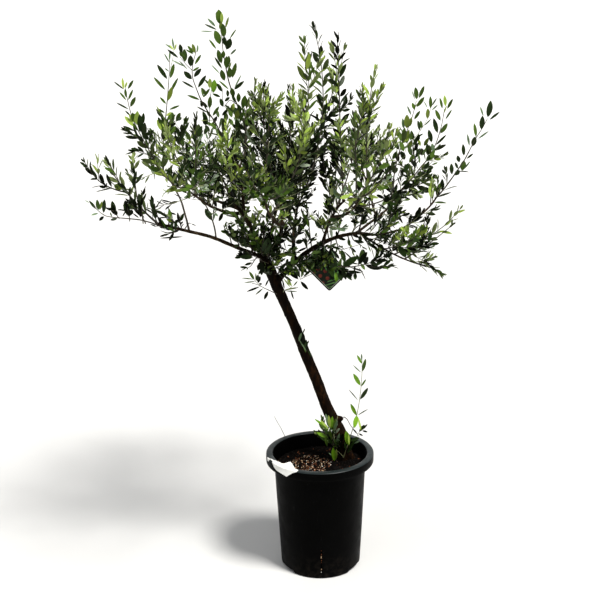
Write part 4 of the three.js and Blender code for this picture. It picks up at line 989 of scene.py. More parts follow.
    ((293.3, 172.2, 1022.4), (287.3, 168.2, 1045.8), 10.5, "grey"),
    ((297.9, 173.7, 1025.4), (308.4, 164.7, 1045.4), 8.7, "mid"),
    ((278.8, 168, 1013.7), (274.2, 164, 1046.7), 14.5, "dark"),
    ((252.4, 168, 1014), (245.5, 159, 1049.2), 11.9, "dark"),
    ((263.4, 168.6, 1015.1), (260.7, 164.6, 1034.7), 13.9, "dark"),
    ((268.8, 178.1, 1037.5), (279.1, 169.1, 1059.2), 9.6, "olive"),
    ((260.9, 178.1, 1037.6), (253.2, 174.1, 1055.7), 9.0, "olive"),
    ((244.2, 182.2, 1049.7), (235.9, 173.2, 1078.2), 9.0, "dark"),
    ((247.4, 185, 1057.6), (268.9, 190, 1067.8), 4.5, "dark"),
    ((270, 191, 1086.4), (286.9, 182, 1105.2), 3.6, "mid"),
    ((318.6, 196, 1114.9), (326.7, 201, 1135.2), 3.6, "olive"),
    ((398.1, 32, 1117.2), (403, 28, 1158.2), 16.0, "dark"),
    ((401.6, 32.3, 1112.2), (424.3, 23.3, 1132.1), 6.4, "dark"),
    ((388.4, 32, 1120.7), (380.6, 37, 1143.6), 5.1, "grey"),
    ((385, 34.2, 1089.4), (384.7, 25.2, 1123.7), 13.1, "dark"),
    ((373.9, 35.9, 1072.2), (367.1, 31.9, 1106.1), 8.4, "mid"),
    ((377.2, 36.4, 1068.1), (401.4, 27.4, 1087.9), 4.5, "grey"),
    ((366.3, 39.2, 1050.2), (371.2, 35.2, 1074.8), 12.5, "dark"),
    ((359.1, 39, 1051.8), (351.5, 30, 1081.4), 5.7, "grey"),
    ((347.3, 41.5, 1027.9), (343.2, 37.5, 1057.5), 9.0, "dark"),
    ((352.7, 42, 1021.4), (367.8, 33, 1035.5), 5.1, "dark"),
    ((344.5, 47.3, 991.9), (347.9, 43.3, 1018.5), 14.5, "mid"),
    ((347.2, 46.8, 994.8), (362.1, 37.8, 1017.3), 3.9, "grey"),
    ((337.4, 43.6, 1013.1), (331, 39.6, 1030.5), 9.6, "dark"),
    ((335.1, 46.3, 998.1), (325, 37.3, 1014.5), 7.8, "dark"),
    ((321, 48.8, 983), (317.8, 44.8, 1011.5), 10.7, "dark"),
    ((328.4, 49, 981.4), (336.9, 40, 996.1), 11.6, "dark"),
    ((-332, 5, 1122.2), (-334.1, 11, 1142.2), 10.2, "mid"),
    ((-329.6, 42, 1116.7), (-317, 32, 1139.3), 10.6, "mid"),
    ((-323.3, 29, 1120.1), (-315.5, 35, 1128.7), 7.3, "dark"),
    ((-310.7, 16, 1109.5), (-299.3, 6, 1134.2), 12.1, "mid"),
    ((-303.1, 53, 1106.1), (-313.6, 59, 1124.4), 8.7, "dark"),
    ((-275.5, 40, 1088.4), (-276, 30, 1112.5), 9.7, "mid"),
    ((-263.8, 27, 1087.2), (-254.3, 33, 1107.3), 9.7, "dark"),
    ((-295.7, 14, 1075), (-302.9, 4, 1099.1), 10.2, "mid"),
    ((-292.4, 51, 1075.8), (-282.6, 57, 1099.7), 9.7, "olive"),
    ((-327.4, 38, 1051.9), (-340.4, 28, 1074.2), 9.7, "dark"),
    ((-329.5, 25, 1074.3), (-344.7, 31, 1091.3), 8.2, "mid"),
    ((-318.3, 12, 1084.7), (-325.3, 2, 1109.8), 10.2, "dark"),
    ((-351.5, 49, 1118.7), (-339.7, 55, 1135.5), 8.7, "mid"),
    ((-359.7, 36, 1108.4), (-369, 26, 1130.1), 8.7, "mid"),
    ((-344.7, 23, 1095.5), (-332.8, 29, 1115.6), 8.2, "dark"),
    ((-309.8, 10, 1061.8), (-314.6, 0, 1085.9), 9.7, "mid"),
    ((-285.9, 47, 1050.3), (-276.1, 53, 1073.1), 10.2, "dark"),
    ((-354.2, 34, 1071.4), (-363.5, 24, 1093.4), 8.7, "dark"),
    ((-307.2, 21, 1039.6), (-297.6, 27, 1062.1), 9.7, "mid"),
    ((-195.2, -5, 1128.1), (-201.8, 1, 1150.3), 10.6, "mid"),
    ((-188.5, 32, 1120.4), (-182.5, 22, 1144), 11.6, "olive"),
    ((-206.2, 19, 1121.7), (-215.3, 25, 1139.6), 10.2, "dark"),
    ((-177.8, 6, 1117.8), (-169.7, -4, 1141.2), 10.6, "mid"),
    ((-165.6, 43, 1123.8), (-158.3, 49, 1146.3), 10.6, "dark"),
    ((-211.9, 30, 1111.6), (-222.3, 20, 1126.4), 9.7, "dark"),
    ((-194.9, 17, 1108), (-204, 23, 1125.9), 12.1, "mid"),
    ((-182.7, 4, 1104.4), (-186.1, -6, 1125.8), 12.1, "dark"),
    ((-200.1, 41, 1138.2), (-192.9, 47, 1158.4), 10.2, "olive"),
    ((-176.1, 28, 1138.9), (-181.9, 18, 1157.9), 10.2, "mid"),
    ((-226.6, 15, 1126.8), (-233.3, 21, 1147), 8.7, "mid"),
    ((-218.5, 2, 1132.3), (-205.9, -8, 1148.8), 8.2, "dark"),
    ((-242.9, 39, 1111.2), (-233.4, 45, 1129.1), 8.7, "deep"),
    ((-235.4, 26, 1098.5), (-243.2, 16, 1117.8), 10.2, "mid"),
    ((-248.4, 13, 1095.2), (-259.9, 19, 1110.9), 9.2, "dark"),
    ((-219.4, 0, 1100.7), (-208.9, -10, 1121.9), 10.6, "mid"),
    ((-170.6, 37, 1098.9), (-163.3, 43, 1121.4), 11.1, "mid"),
    ((208.8, 75, 1036), (199.5, 81, 1061.6), 12.6, "mid"),
    ((222.3, 112, 1036.4), (230.5, 102, 1061.4), 11.6, "olive"),
    ((199.2, 99, 1038.1), (187.4, 105, 1059.3), 11.6, "deep"),
    ((229.4, 86, 1024.8), (218.3, 76, 1050), 11.6, "mid"),
    ((243.4, 123, 1015.4), (253.5, 129, 1038.9), 11.1, "dark"),
    ((215.2, 110, 1012.5), (204.1, 100, 1035.6), 12.6, "dark"),
    ((223.6, 97, 1006.7), (236.1, 103, 1027.6), 11.6, "mid"),
    ((248.7, 84, 1005.6), (242.3, 74, 1030.9), 11.1, "mid"),
    ((267.8, 121, 1005.5), (280.4, 127, 1024.2), 10.2, "dark"),
    ((200.5, 108, 1008.1), (189.5, 98, 1033.6), 12.6, "dark"),
    ((232.4, 95, 1047.8), (242.4, 101, 1068.5), 10.2, "dark"),
    ((202, 82, 1059.1), (195.9, 72, 1086.2), 11.1, "mid"),
    ((218, 119, 1050.2), (225.6, 125, 1073.6), 9.2, "mid"),
    ((255.9, 106, 1022.1), (263.9, 96, 1044.8), 9.7, "mid"),
    ((240.3, 93, 994.9), (228.5, 99, 1016.1), 12.1, "deep"),
    ((258.2, 80, 991.5), (268.5, 70, 1014.3), 11.1, "dark"),
    ((276.9, 117, 1015.7), (289.5, 123, 1034.3), 8.7, "mid"),
    ((193.1, 104, 984.3), (179.7, 94, 1007.7), 12.1, "deep"),
    ((211.2, 91, 985.9), (223.6, 97, 1006.7), 12.1, "dark"),
    ((173.5, 78, 1002.5), (162.8, 68, 1025.5), 12.1, "dark"),
    ((184, 115, 1012.3), (196.5, 121, 1033.3), 10.2, "mid"),
    ((172.9, 102, 1033.3), (162.2, 92, 1056.2), 10.6, "mid"),
    ((183.6, 89, 1049.1), (193.6, 95, 1069.8), 9.7, "dark"),
    ((154.1, 76, 998.3), (143.6, 66, 1021.2), 11.1, "dark"),
]
# their stems: bark, radius at each end, and the points they run through
SET_STEMS = [
    ("brown", 0.76, 0.51, [(-263, 20, 1029.8), (-283.5, 25, 1057.5), (-306.3, 30, 1085.1), (-324, 30, 1106.2), (-335, 30, 1122.4)]),
    ("brown", 0.76, 0.51, [(-278.7, 20, 1048.7), (-292.3, 25, 1071.5), (-303.3, 28, 1094.5), (-309.9, 30, 1110.6)]),
    ("brown", 0.89, 0.51, [(196.7, 90, 976.5), (206.5, 95, 1004.8), (213.8, 100, 1033), (221.2, 104, 1056.5)]),
    ("brown", 0.89, 0.51, [(221.4, 95, 975.5), (236.1, 100, 1003.7), (248.4, 104, 1022.5), (258.2, 108, 1041.2)]),
    ("green", 0.70, 0.44, [(-350.9, 156, 1236.4), (-343.7, 156, 1259.9), (-340.5, 156, 1278.6)]),
    ("brown", 0.83, 0.51, [(-274.8, -85, 1239.3), (-285.6, -88, 1250.1), (-293.7, -90, 1260.9), (-298.6, -92, 1267.4)]),
    ("brown", 1.02, 0.64, [(-246.9, -25, 1112.4), (-243, -35, 1144.5), (-240.2, -50, 1176.5), (-235.4, -60, 1194.5)]),
    ("brown", 1.02, 0.64, [(-187.6, 36, 1156.8), (-200.2, 20, 1169.4), (-214.4, 0, 1150.5), (-216.9, 0, 1177.6), (-214.8, 10, 1194.9)]),
    ("green", 0.89, 0.51, [(204.1, 100, 1038), (226.7, 110, 1053.4), (246.7, 118, 1074), (261.8, 126, 1094.7), (272, 132, 1110.9), (279.5, 138, 1134.2)]),
    ("green", 1.27, 0.57, [(59.3, 12, 275.6), (66.7, 8, 297.7), (74.3, 5, 325.9), (82, 3, 353.6), (92.8, 1, 391.6), (99.6, 0, 434.3), (103.4, 0, 471), (105.5, 0, 507.4), (105.2, 0, 543.6)]),
    ("brown", 1.27, 0.76, [(46.4, 18, 279.9), (36.4, 4, 318.8), (28.1, -6, 350), (24.6, -10, 370.4)]),
    ("brown", 1.02, 0.57, [(41.1, 12, 293.6), (27, 0, 323.3), (18.1, -6, 342.1)]),
    ("green", 0.95, 0.64, [(43.5, 8, 303.4), (36.1, -6, 333.8), (34, -10, 356.9), (40.5, -12, 379), (44.5, -12, 396.1)]),
    ("green", 0.70, 0.51, [(60.7, 10, 276.4), (50.9, 4, 291.5), (42.7, 0, 300.1)]),
    ("brown", 1.02, 0.64, [(66.7, 8, 297.7), (71, 4, 307.5), (72.6, 0, 317.3)]),
    ("brown", 1.14, 0.57, [(57.1, 28, 377.4), (63.2, 24, 380.8), (70.5, 18, 375.8), (76.9, 12, 363.4), (84.8, 8, 354.2), (93.6, 4, 344.9), (99, 2, 334.9)]),
    ("green", 0.76, 0.44, [(68.6, 6, 303.9), (81, 2, 316.3), (91.8, 0, 333.2), (96.3, 0, 345.2), (103.8, 0, 354.5)]),
    ("brown", 0.89, 0.51, [(44.3, 0, 268.8), (39.4, -5, 276.6), (35.8, -10, 292.4)]),
    ("brown", 1.72, 0.76, [(-354.1, -88, 891.1), (-378, -92, 903), (-404.2, -96, 911.2), (-430.3, -101, 915.2), (-455.9, -108, 918.9), (-477.2, -113, 923), (-490.3, -117, 933.6), (-500.1, -120, 945.6)]),
    ("brown", 0.89, 0.51, [(-372.2, -92, 904.8), (-376.6, -93, 918.8), (-372.5, -96, 932.9)]),
    ("brown", 0.76, 0.51, [(-117.8, -34, 791.6), (-136, -44, 802.6), (-157.7, -48, 816.9), (-168.9, -50, 827.5)]),
    ("brown", 0.76, 0.57, [(-132.7, -40, 796.8), (-133.5, -40, 804)]),
    ("green", 0.70, 0.44, [(-151.6, -36, 752.6), (-145.8, -36, 745.2), (-136.6, -34, 737.3)]),
    ("green", 0.76, 0.51, [(-85.3, -10, 715.7), (-81.7, -18, 722.7), (-67, -22, 728.4), (-62.2, -22, 733.3)]),
    ("brown", 1.02, 0.64, [(-48.4, -10, 784), (-45.1, -36, 770.6), (-43.7, -45, 754.6)]),
    ("brown", 0.76, 0.57, [(-43.7, -45, 755.1), (-28.8, -50, 763.6), (-11.3, -55, 771.8), (7.4, -60, 780.4)]),
    ("brown", 0.89, 0.64, [(-0.9, -30, 831.2), (21.6, -60, 834.9), (39.9, -68, 832.8), (53.6, -70, 830.4), (71.1, -66, 834.3), (95.7, -60, 840)]),
    ("brown", 0.89, 0.64, [(21.5, -60, 813.6), (35, -70, 787.1), (48.9, -70, 781), (62.8, -70, 780.6), (83.6, -72, 781)]),
]
# courses of some spires: the points they run through
ROUTES = {
    "spire_a": [(-303, -50, 896), (-316, -40, 946), (-339, -25, 986), (-372, -10, 1028), (-394, 0, 1064), (-410, 5, 1094), (-422, 10, 1118), (-430, 14, 1141), (-436, 17, 1170), (-440, 20, 1197)],
    "spire_b": [(-376, 140, 1041), (-374, 145, 1077), (-369, 148, 1108), (-364, 150, 1142), (-360, 152, 1175), (-355, 156, 1218), (-353, 160, 1255)],
    "spire_c": [(-203, 10, 1053), (-221, -10, 1092), (-233, -20, 1121), (-249, -40, 1149), (-261, -60, 1175), (-269, -70, 1202), (-275, -75, 1220), (-275, -85, 1239), (-270, -92, 1258), (-262, -98, 1280)],
    "spire_d": [(-167, 25, 1051), (-166, 30, 1097), (-175, 33, 1136), (-188, 36, 1161), (-196, 38, 1184), (-204, 40, 1211), (-210, 43, 1245), (-215, 45, 1279), (-216, 47, 1312), (-221, 49, 1339)],
    "right_long": [(304, 54, 949), (322, 50, 976), (337, 46, 1000), (350, 42, 1021), (361, 40, 1045), (373, 36, 1071), (386, 34, 1092), (398, 32, 1116)],
    "spire_k": [(241, 135, 970), (259, 150, 990), (278, 165, 1007), (292, 175, 1028), (305, 185, 1057), (315, 192, 1091), (321, 198, 1127)],
    "spire_j": [(186, 80, 980), (196, 90, 1027), (208, 96, 1058), (221, 104, 1090), (232, 110, 1118), (241, 116, 1153)],
}
# parts of the outline where every leaf is set: middle, half widths
CLEAR = [
    (-432, 1166, 43, 62),
    (-342, 1219, 33, 87),
    (-292, 1236, 41, 85),
    (-253, 1178, 31, 45),
    (-213, 1279, 48, 115),
    (-180, 1181, 21, 30),
    (268, 1133, 50, 65),
    (224, 1149, 26, 55),
    (397, 1133, 31, 40),
    (371, 1083, 31, 42),
    (344, 1038, 24, 37),
    (322, 1003, 19, 25),
]
CROWN_AT, CROWN_SIZE = np.array([-0.08, 0.0, 0.93]), np.array([0.43, 0.40, 0.40])


def openness(p):
    """0 in the shaded heart of the crown, 1 at its outside."""
    q = (p - CROWN_AT) / CROWN_SIZE
    if q[2] < 0:
        q[2] *= 2.0
    return float(np.clip(np.sqrt(q @ q), 0, 1.2))


def spray_tone(p, rng, lean=0.0):
    """The tone of a whole spray, dealt by place as painted shade and light: deep inside the shaded heart of the crown,
    lighter outside, with the odd bright or grey one.
    """
    x = openness(p) + rng.normal(0, 0.3) + lean
    if rng.random() < 0.09:
        return "grey"
    for limit, tone in ((0.55, "deep"), (0.84, "dark"), (1.1, "mid"), (1.42, "olive"), (1.7, "bright")):
        if x < limit:
            return tone
    return "young"


# open places between the shoots: middle, across and up, half widths, and the share of growth left there
EYE = np.array([-44.8, -2328.3, 1315.8])
GAPS = [
    (-296, 922, 53, 25, 0.2),
    (-341, 961, 31, 22, 0.4),
    (-269, 877, 48, 25, 0.1),
    (-395, 964, 29, 25, 0.35),
    (66, 944, 22, 50, 0.3),
    (125, 957, 48, 60, 0.7),
    (1, 933, 17, 28, 0.15),
    (250, 1049, 17, 22, 0.35),
    (-296, 1152, 24, 20, 0.3),
    (317, 852, 29, 30, 0.4),
    (217, 761, 24, 18, 0.1),
    (64, 1221, 15, 65, 0.5),
    (311, 1082, 19, 25, 0.5),
    (119, 755, 19, 18, 0.2),
    (-299, 963, 29, 22, 0.45),
    (-486, 960, 24, 25, 0.5),
    (-395, 914, 36, 22, 0.5),
    (-353, 911, 22, 20, 0.45),
    (-160, 918, 19, 20, 0.6),
    (-112, 922, 19, 18, 0.6),
    (80, 915, 24, 25, 0.4),
    (80, 1009, 22, 22, 0.5),
    (218, 1136, 39, 20, 0.6),
    (260, 1099, 19, 20, 0.5),
    (-165, 875, 17, 18, 0.6),
    (-19, 864, 22, 25, 0.45),
    (76, 867, 24, 20, 0.5),
    (-17, 815, 19, 20, 0.6),
    (90, 824, 22, 18, 0.5),
    (-394, 1015, 24, 22, 0.6),
    (-449, 879, 39, 18, -0.1),
    (-391, 1175, 22, 55, 0),
    (118, 945, 34, 55, 0.4),
    (62, 915, 17, 30, 0.15),
    (-304, 963, 34, 30, 0.3),
    (-300, 1056, 29, 25, 0.5),
    (-117, 918, 34, 25, 0.4),
    (-465, 927, 22, 20, 0.5),
    (-398, 864, 34, 18, 0.1),
    (-1, 1290, 17, 20, 0.5),
    (62, 1009, 19, 22, 0.5),
    (-24, 818, 29, 15, 0),
    (52, 836, 34, 12, 0.1),
    (61, 795, 22, 20, 0.2),
    (-168, 786, 29, 15, 0.15),
]
# parts of the crown whose leaves are stepped lighter (+) or darker (-), as painted light and shade: middle, half
# widths, steps of tone
SHADES = [
    (-439, 1166, 43, 65, 0.8),
    (-375, 1197, 29, 55, 0.3),
    (-343, 1259, 29, 45, 0.3),
    (-227, 1268, 48, 112, 0.8),
    (-233, 1168, 38, 35, 0.5),
    (-95, 1167, 77, 50, 0.7),
    (-31, 1177, 33, 80, 0.9),
    (-32, 1086, 36, 37, 0.9),
    (36, 1183, 36, 65, 0.6),
    (171, 1154, 38, 37, 0.9),
    (40, 953, 31, 37, 0.7),
    (-341, 1056, 33, 30, 0.6),
    (-100, 945, 38, 35, 0.8),
    (-170, 946, 33, 30, 0.5),
    (-35, 873, 29, 30, 0.5),
    (39, 800, 53, 45, 0.3),
    (-481, 1035, 33, 30, -0.3),
    (-521, 953, 48, 35, -0.9),
    (-524, 908, 48, 30, -1.4),
    (-447, 907, 48, 35, -1),
    (-378, 958, 33, 35, -0.7),
    (-265, 1096, 33, 45, -0.7),
    (-167, 1054, 38, 70, -0.5),
    (-233, 957, 33, 35, -0.8),
    (40, 1016, 33, 40, -0.8),
    (110, 1015, 33, 50, -0.5),
    (180, 1007, 36, 45, -0.7),
    (182, 807, 38, 35, -0.7),
    (256, 811, 38, 40, -0.8),
    (323, 868, 33, 30, -0.5),
    (-311, 877, 38, 30, -0.6),
    (-43, 771, 38, 35, 0.3),
    (181, 920, 29, 40, -0.5),
    (111, 752, 33, 25, -0.8),
]
gap_rng = np.random.default_rng(41)
shade_rng = np.random.default_rng(43)


def seen_at(p):
    """Where a place in the crown lies when the tree is looked at from the front."""
    q = np.asarray(p) / MM
    return EYE + (q - EYE) * (-EYE[1] / (q[1] - EYE[1]))


def clear(p):
    """Whether the leaves at this place are all set one by one."""
    q = seen_at(p)
    return any(((q[0] - x) / wide) ** 2 + ((q[2] - z) / tall) ** 2 < 1 for x, z, wide, tall in CLEAR)


# painted light and shade: a leaf's tone steps lighter or darker inside the SHADES parts
def shaded(tone, p):
    if tone in ("grey", "fresh"):
        return tone
    q, i = seen_at(p), TONES.index(tone)
    for x, z, wide, tall, step in SHADES:
        if ((q[0] - x) / wide) ** 2 + ((q[2] - z) / tall) ** 2 < 1:
            whole = int(abs(step)) + (shade_rng.random() < abs(step) % 1)
            i += whole if step > 0 else -whole
    return TONES[min(max(i, 0), 4)]


def room(p):
    """The share of growth that a place in the crown keeps: less where the crown is open to the front."""
    q = seen_at(p)
    keep = 1.0
    for x, z, wide, tall, share in GAPS:
        if ((q[0] - x) / wide) ** 2 + ((q[2] - z) / tall) ** 2 < 1:
            keep = min(keep, share)
    return keep


def add_leaf(tone, p, d, n, length, width, curl, fold, twist, given=False):
    if not given and clear(p + d * length * 0.6):
        return
    k = 1.0 if given else room(p + d * length * 0.5)
    if k < 1 and gap_rng.random() > k + 0.1:
        return
    leaf_rows[tone if given else shaded(tone, p)].append((*p, *d, *n, length, width, curl, fold, twist))


def next_tone(tone, rng):
    if rng.random() < 0.84:
        return tone
    i = TONES.index(tone)
    return TONES[min(max(i + rng.choice([-1, 1]), 0), 4)] if tone not in ("grey", "fresh") else "mid"


def leaf_pair(line, s, azimuth, rng, size, spread, tone, keep=1.0, broad=1.0):
    p, t, u, v, r = line.at(s)
    for side in (0, math.pi):
        if rng.random() > keep:
            continue
        a = azimuth + side + rng.normal(0, 0.2)
        out = math.cos(a) * u + math.sin(a) * v
        ang = max(0.12, spread + rng.normal(0, 0.16))
        d = unit(t * math.cos(ang) + out * math.sin(ang) + np.array((0, 0, 0.08)))
        n = unit(t - d * (t @ d))
        roll = rng.normal(0, 0.7)
        n = n * math.cos(roll) + np.cross(d, n) * math.sin(roll)
        length = size * rng.uniform(0.8, 1.14)
        width = length * rng.uniform(0.25, 0.36) * broad
        add_leaf(next_tone(tone, rng), p + out * r * 0.7, d, n, length, width,
                 rng.normal(0.05, 0.08), rng.uniform(0.08, 0.32), rng.normal(0, 0.35))


def leafy(line, rng, start, internode, size, tone, keep=0.97, broad=1.0, visit=None):
    """Opposite pairs, each turned a quarter from the last, closing up and folding in towards the tip."""
    size = size * 1.15
    _, _, u, v, _ = line.at(start)
    s, turn = start, math.atan2(v[1], u[1]) + math.pi / 4 + rng.normal(0, 0.22)
    while s < line.length - 0.003:
        near = min(1.0, (line.length - s) / (4.0 * internode))
        leaf_pair(line, s, turn, rng, size * (0.55 + 0.45 * near), 0.3 + 0.48 * near, tone, keep, broad)
        if visit:
            visit(s, turn, near)
        turn += math.pi / 2 + rng.normal(0, 0.14)
        s += internode * (0.4 + 0.6 * near) * rng.uniform(0.85, 1.15)
    leaf_pair(line, line.length, turn, rng, size * 0.5, 0.22, tone, 1.0, broad)


def side_shoot(line, s, azimuth, rng, length, tone, level=1, size=0.0245, rise=0.5):
    p, t, u, v, r = line.at(s)
    out = math.cos(azimuth) * u + math.sin(azimuth) * v
    d = unit(t * rng.uniform(0.55, 0.95) + out)
    n = max(5, int(length / 0.008) + 1)
    step, path = length / (n - 1), [p + out * r * 0.2]
    sway = rng.normal(0, 0.25, 3)
    for i in range(n - 1):
        d = unit(d + np.array((0, 0, rise)) * step / length * 0.9 + sway * step / length)
        path.append(path[-1] + d * step)
    if clear(path[-1]) or clear(path[n // 2]) or gap_rng.random() > room(path[n // 2]) + (0.1 if room(path[-1]) == 1 else 0):
        return
    r0 = min(max(r * 0.62, 0.0007), 0.0013 if level == 1 else 0.0009)
    mine = Line(path, r0, 0.00045)
    twigs["green"].add(*tube(mine.p, np.linspace(mine.r0, mine.r1, n), 5))

    def visit(at, turn, near):
        if level == 1 and length > 0.05 and near > 0.99 and rng.random() < 0.4:
            side_shoot(mine, at, turn + rng.choice([0, math.pi]), rng, length * rng.uniform(0.35, 0.55), tone, 2, size * 0.92)

    leafy(mine, rng, rng.uniform(0.006, 0.012), size * 0.56, size, tone, 0.95, 1.0, visit)


# how each limb is clothed: share where leaves begin, leaf size, chance of a side shoot at a node,
# length of those, share where they end, lean of the tone, breadth of the leaves, their spacing as a share of their size
CLOTHED = {
    "left_tip": (0.12, 34, 0.18, 45, 0.5, "dark", 1.0), "left_rise": (0.2, 33, 0.2, 45, 0.6, 0.0, 1.0),
    "left_fan": (0.15, 32, 0.15, 40, 0.5, 0.0, 1.0), "left_shoot": (0.2, 30, 0.15, 40, 0.5, 0.0, 1.0),
    "left_nub": (0.2, 30, 0.0, 0, 0.0, 0.0, 1.0), "spire_a": (0.32, 33, 0.2, 50, 0.6, "mid", 1.0),
    "thin_a": (0.25, 32, 0.1, 40, 0.5, -0.1, 1.0), "spire_b": (0.05, 39, 0.3, 60, 0.5, "mid", 1.0),
    "spire_c": (0.05, 38, 0.3, 60, 0.5, "mid", 1.0), "spire_cl": (0.1, 30, 0.0, 0, 0.0, 0.1, 1.0),
    "shoot_c2": (0.2, 34, 0.1, 30, 0.5, 0.0, 1.0), "shoot_c3": (0.1, 34, 0.3, 55, 0.6, 0.35, 1.0),
    "spire_d": (0.04, 38, 0.26, 60, 0.6, "mid", 1.05), "right_long": (0.02, 33, 0.12, 40, 0.45, 0.0, 1.0),
    "right_tip": (0.15, 34, 0.1, 35, 0.4, -0.1, 1.0), "low_twig": (0.3, 36, 0.15, 45, 0.8, -0.1, 1.0),
    "shoot_l": (0.25, 32, 0.15, 35, 0.6, -0.1, 1.0), "shoot_r": (0.2, 32, 0.1, 30, 0.5, 0.1, 1.0),
    "right_c": (0.1, 36, 0.3, 50, 0.6, 0.35, 1.0), "sucker_short": (0.5, 26, 0.1, 20, 0.8, "mid", 1.1),
}
SPIRE = (0.05, 30, 0.36, 60, 0.6, 0.0, 1.0)
INNER = (0.05, 26, 0.5, 75, 0.8, 0.0, 1.0)
# stretches of boughs that are clothed with side shoots: from, to, chance, length
BOUGH_SHOOTS = {
    "left_low": (0.55, 1.0, 0.10, 40), "left_high": (0.35, 1.0, 0.25, 60), "left_arch": (0.15, 1.0, 0.5, 70),
    "up_left": (0.1, 1.0, 0.6, 80), "up_mid": (0.15, 1.0, 0.6, 80), "right": (0.45, 1.0, 0.25, 60),
    "right_low": (0.15, 1.0, 0.35, 50), "right_out": (0.1, 1.0, 0.4, 60), "right_in": (0.2, 1.0, 0.45, 70),
    "up_right": (0.1, 1.0, 0.6, 80), "mid_right": (0.2, 1.0, 0.5, 75), "front_left": (0.35, 1.0, 0.5, 70),
    "front": (0.35, 1.0, 0.5, 70), "front_right": (0.3, 1.0, 0.5, 70), "back_left": (0.4, 1.0, 0.5, 80),
    "back": (0.35, 1.0, 0.5, 80), "back_right": (0.3, 1.0, 0.5, 80),
}


def clothe(name, plan):
    first, size, chance, reach, until, lean, broad, apart = plan if len(plan) == 8 else (*plan, 0.6)
    rng = np.random.default_rng(seed_of(name))
    _, length, d0, d1 = curve(name)
    if name in ROUTES:
        p, t = drawn_line(name, 0.0, 1.0, 0.006)
    else:
        p, t = limb_line(name, 0.0, 1.0 - 0.5 * size * MM / length, 0.006, 0.0016)
        if clear(p[-1]):
            return
    line = Line(p, d0 / 2, d1 / 2)
    collar = 1 + 0.35 * np.exp(-t * length / 0.006)
    nodes = 1 + 0.10 * np.maximum(0, np.cos(t * length / 0.022 * 2 * np.pi)) ** 6
    twigs["brown"].add(*tube(p, (d0 + (d1 - d0) * t) / 2 * collar * nodes, 7))
    if name in ("shoot_l", "shoot_r"):
        return
    pick = lambda at: next_tone(lean, rng) if isinstance(lean, str) else spray_tone(at, rng, lean)
    tone = pick(line.at(line.length * 0.8)[0])

    def visit(s, turn, near):
        if s / line.length > until or near < 0.9:
            return
        for side in (0, math.pi):
            if rng.random() < chance:
                far = reach * MM * rng.uniform(0.55, 1.15) * (1.05 - 0.5 * s / line.length)
                side_shoot(line, s, turn + side, rng, far, pick(line.at(s)[0]), 1, size * MM * 0.85)

    leafy(line, rng, first * line.length, size * MM * apart, size * MM, tone, 0.97, broad, visit)


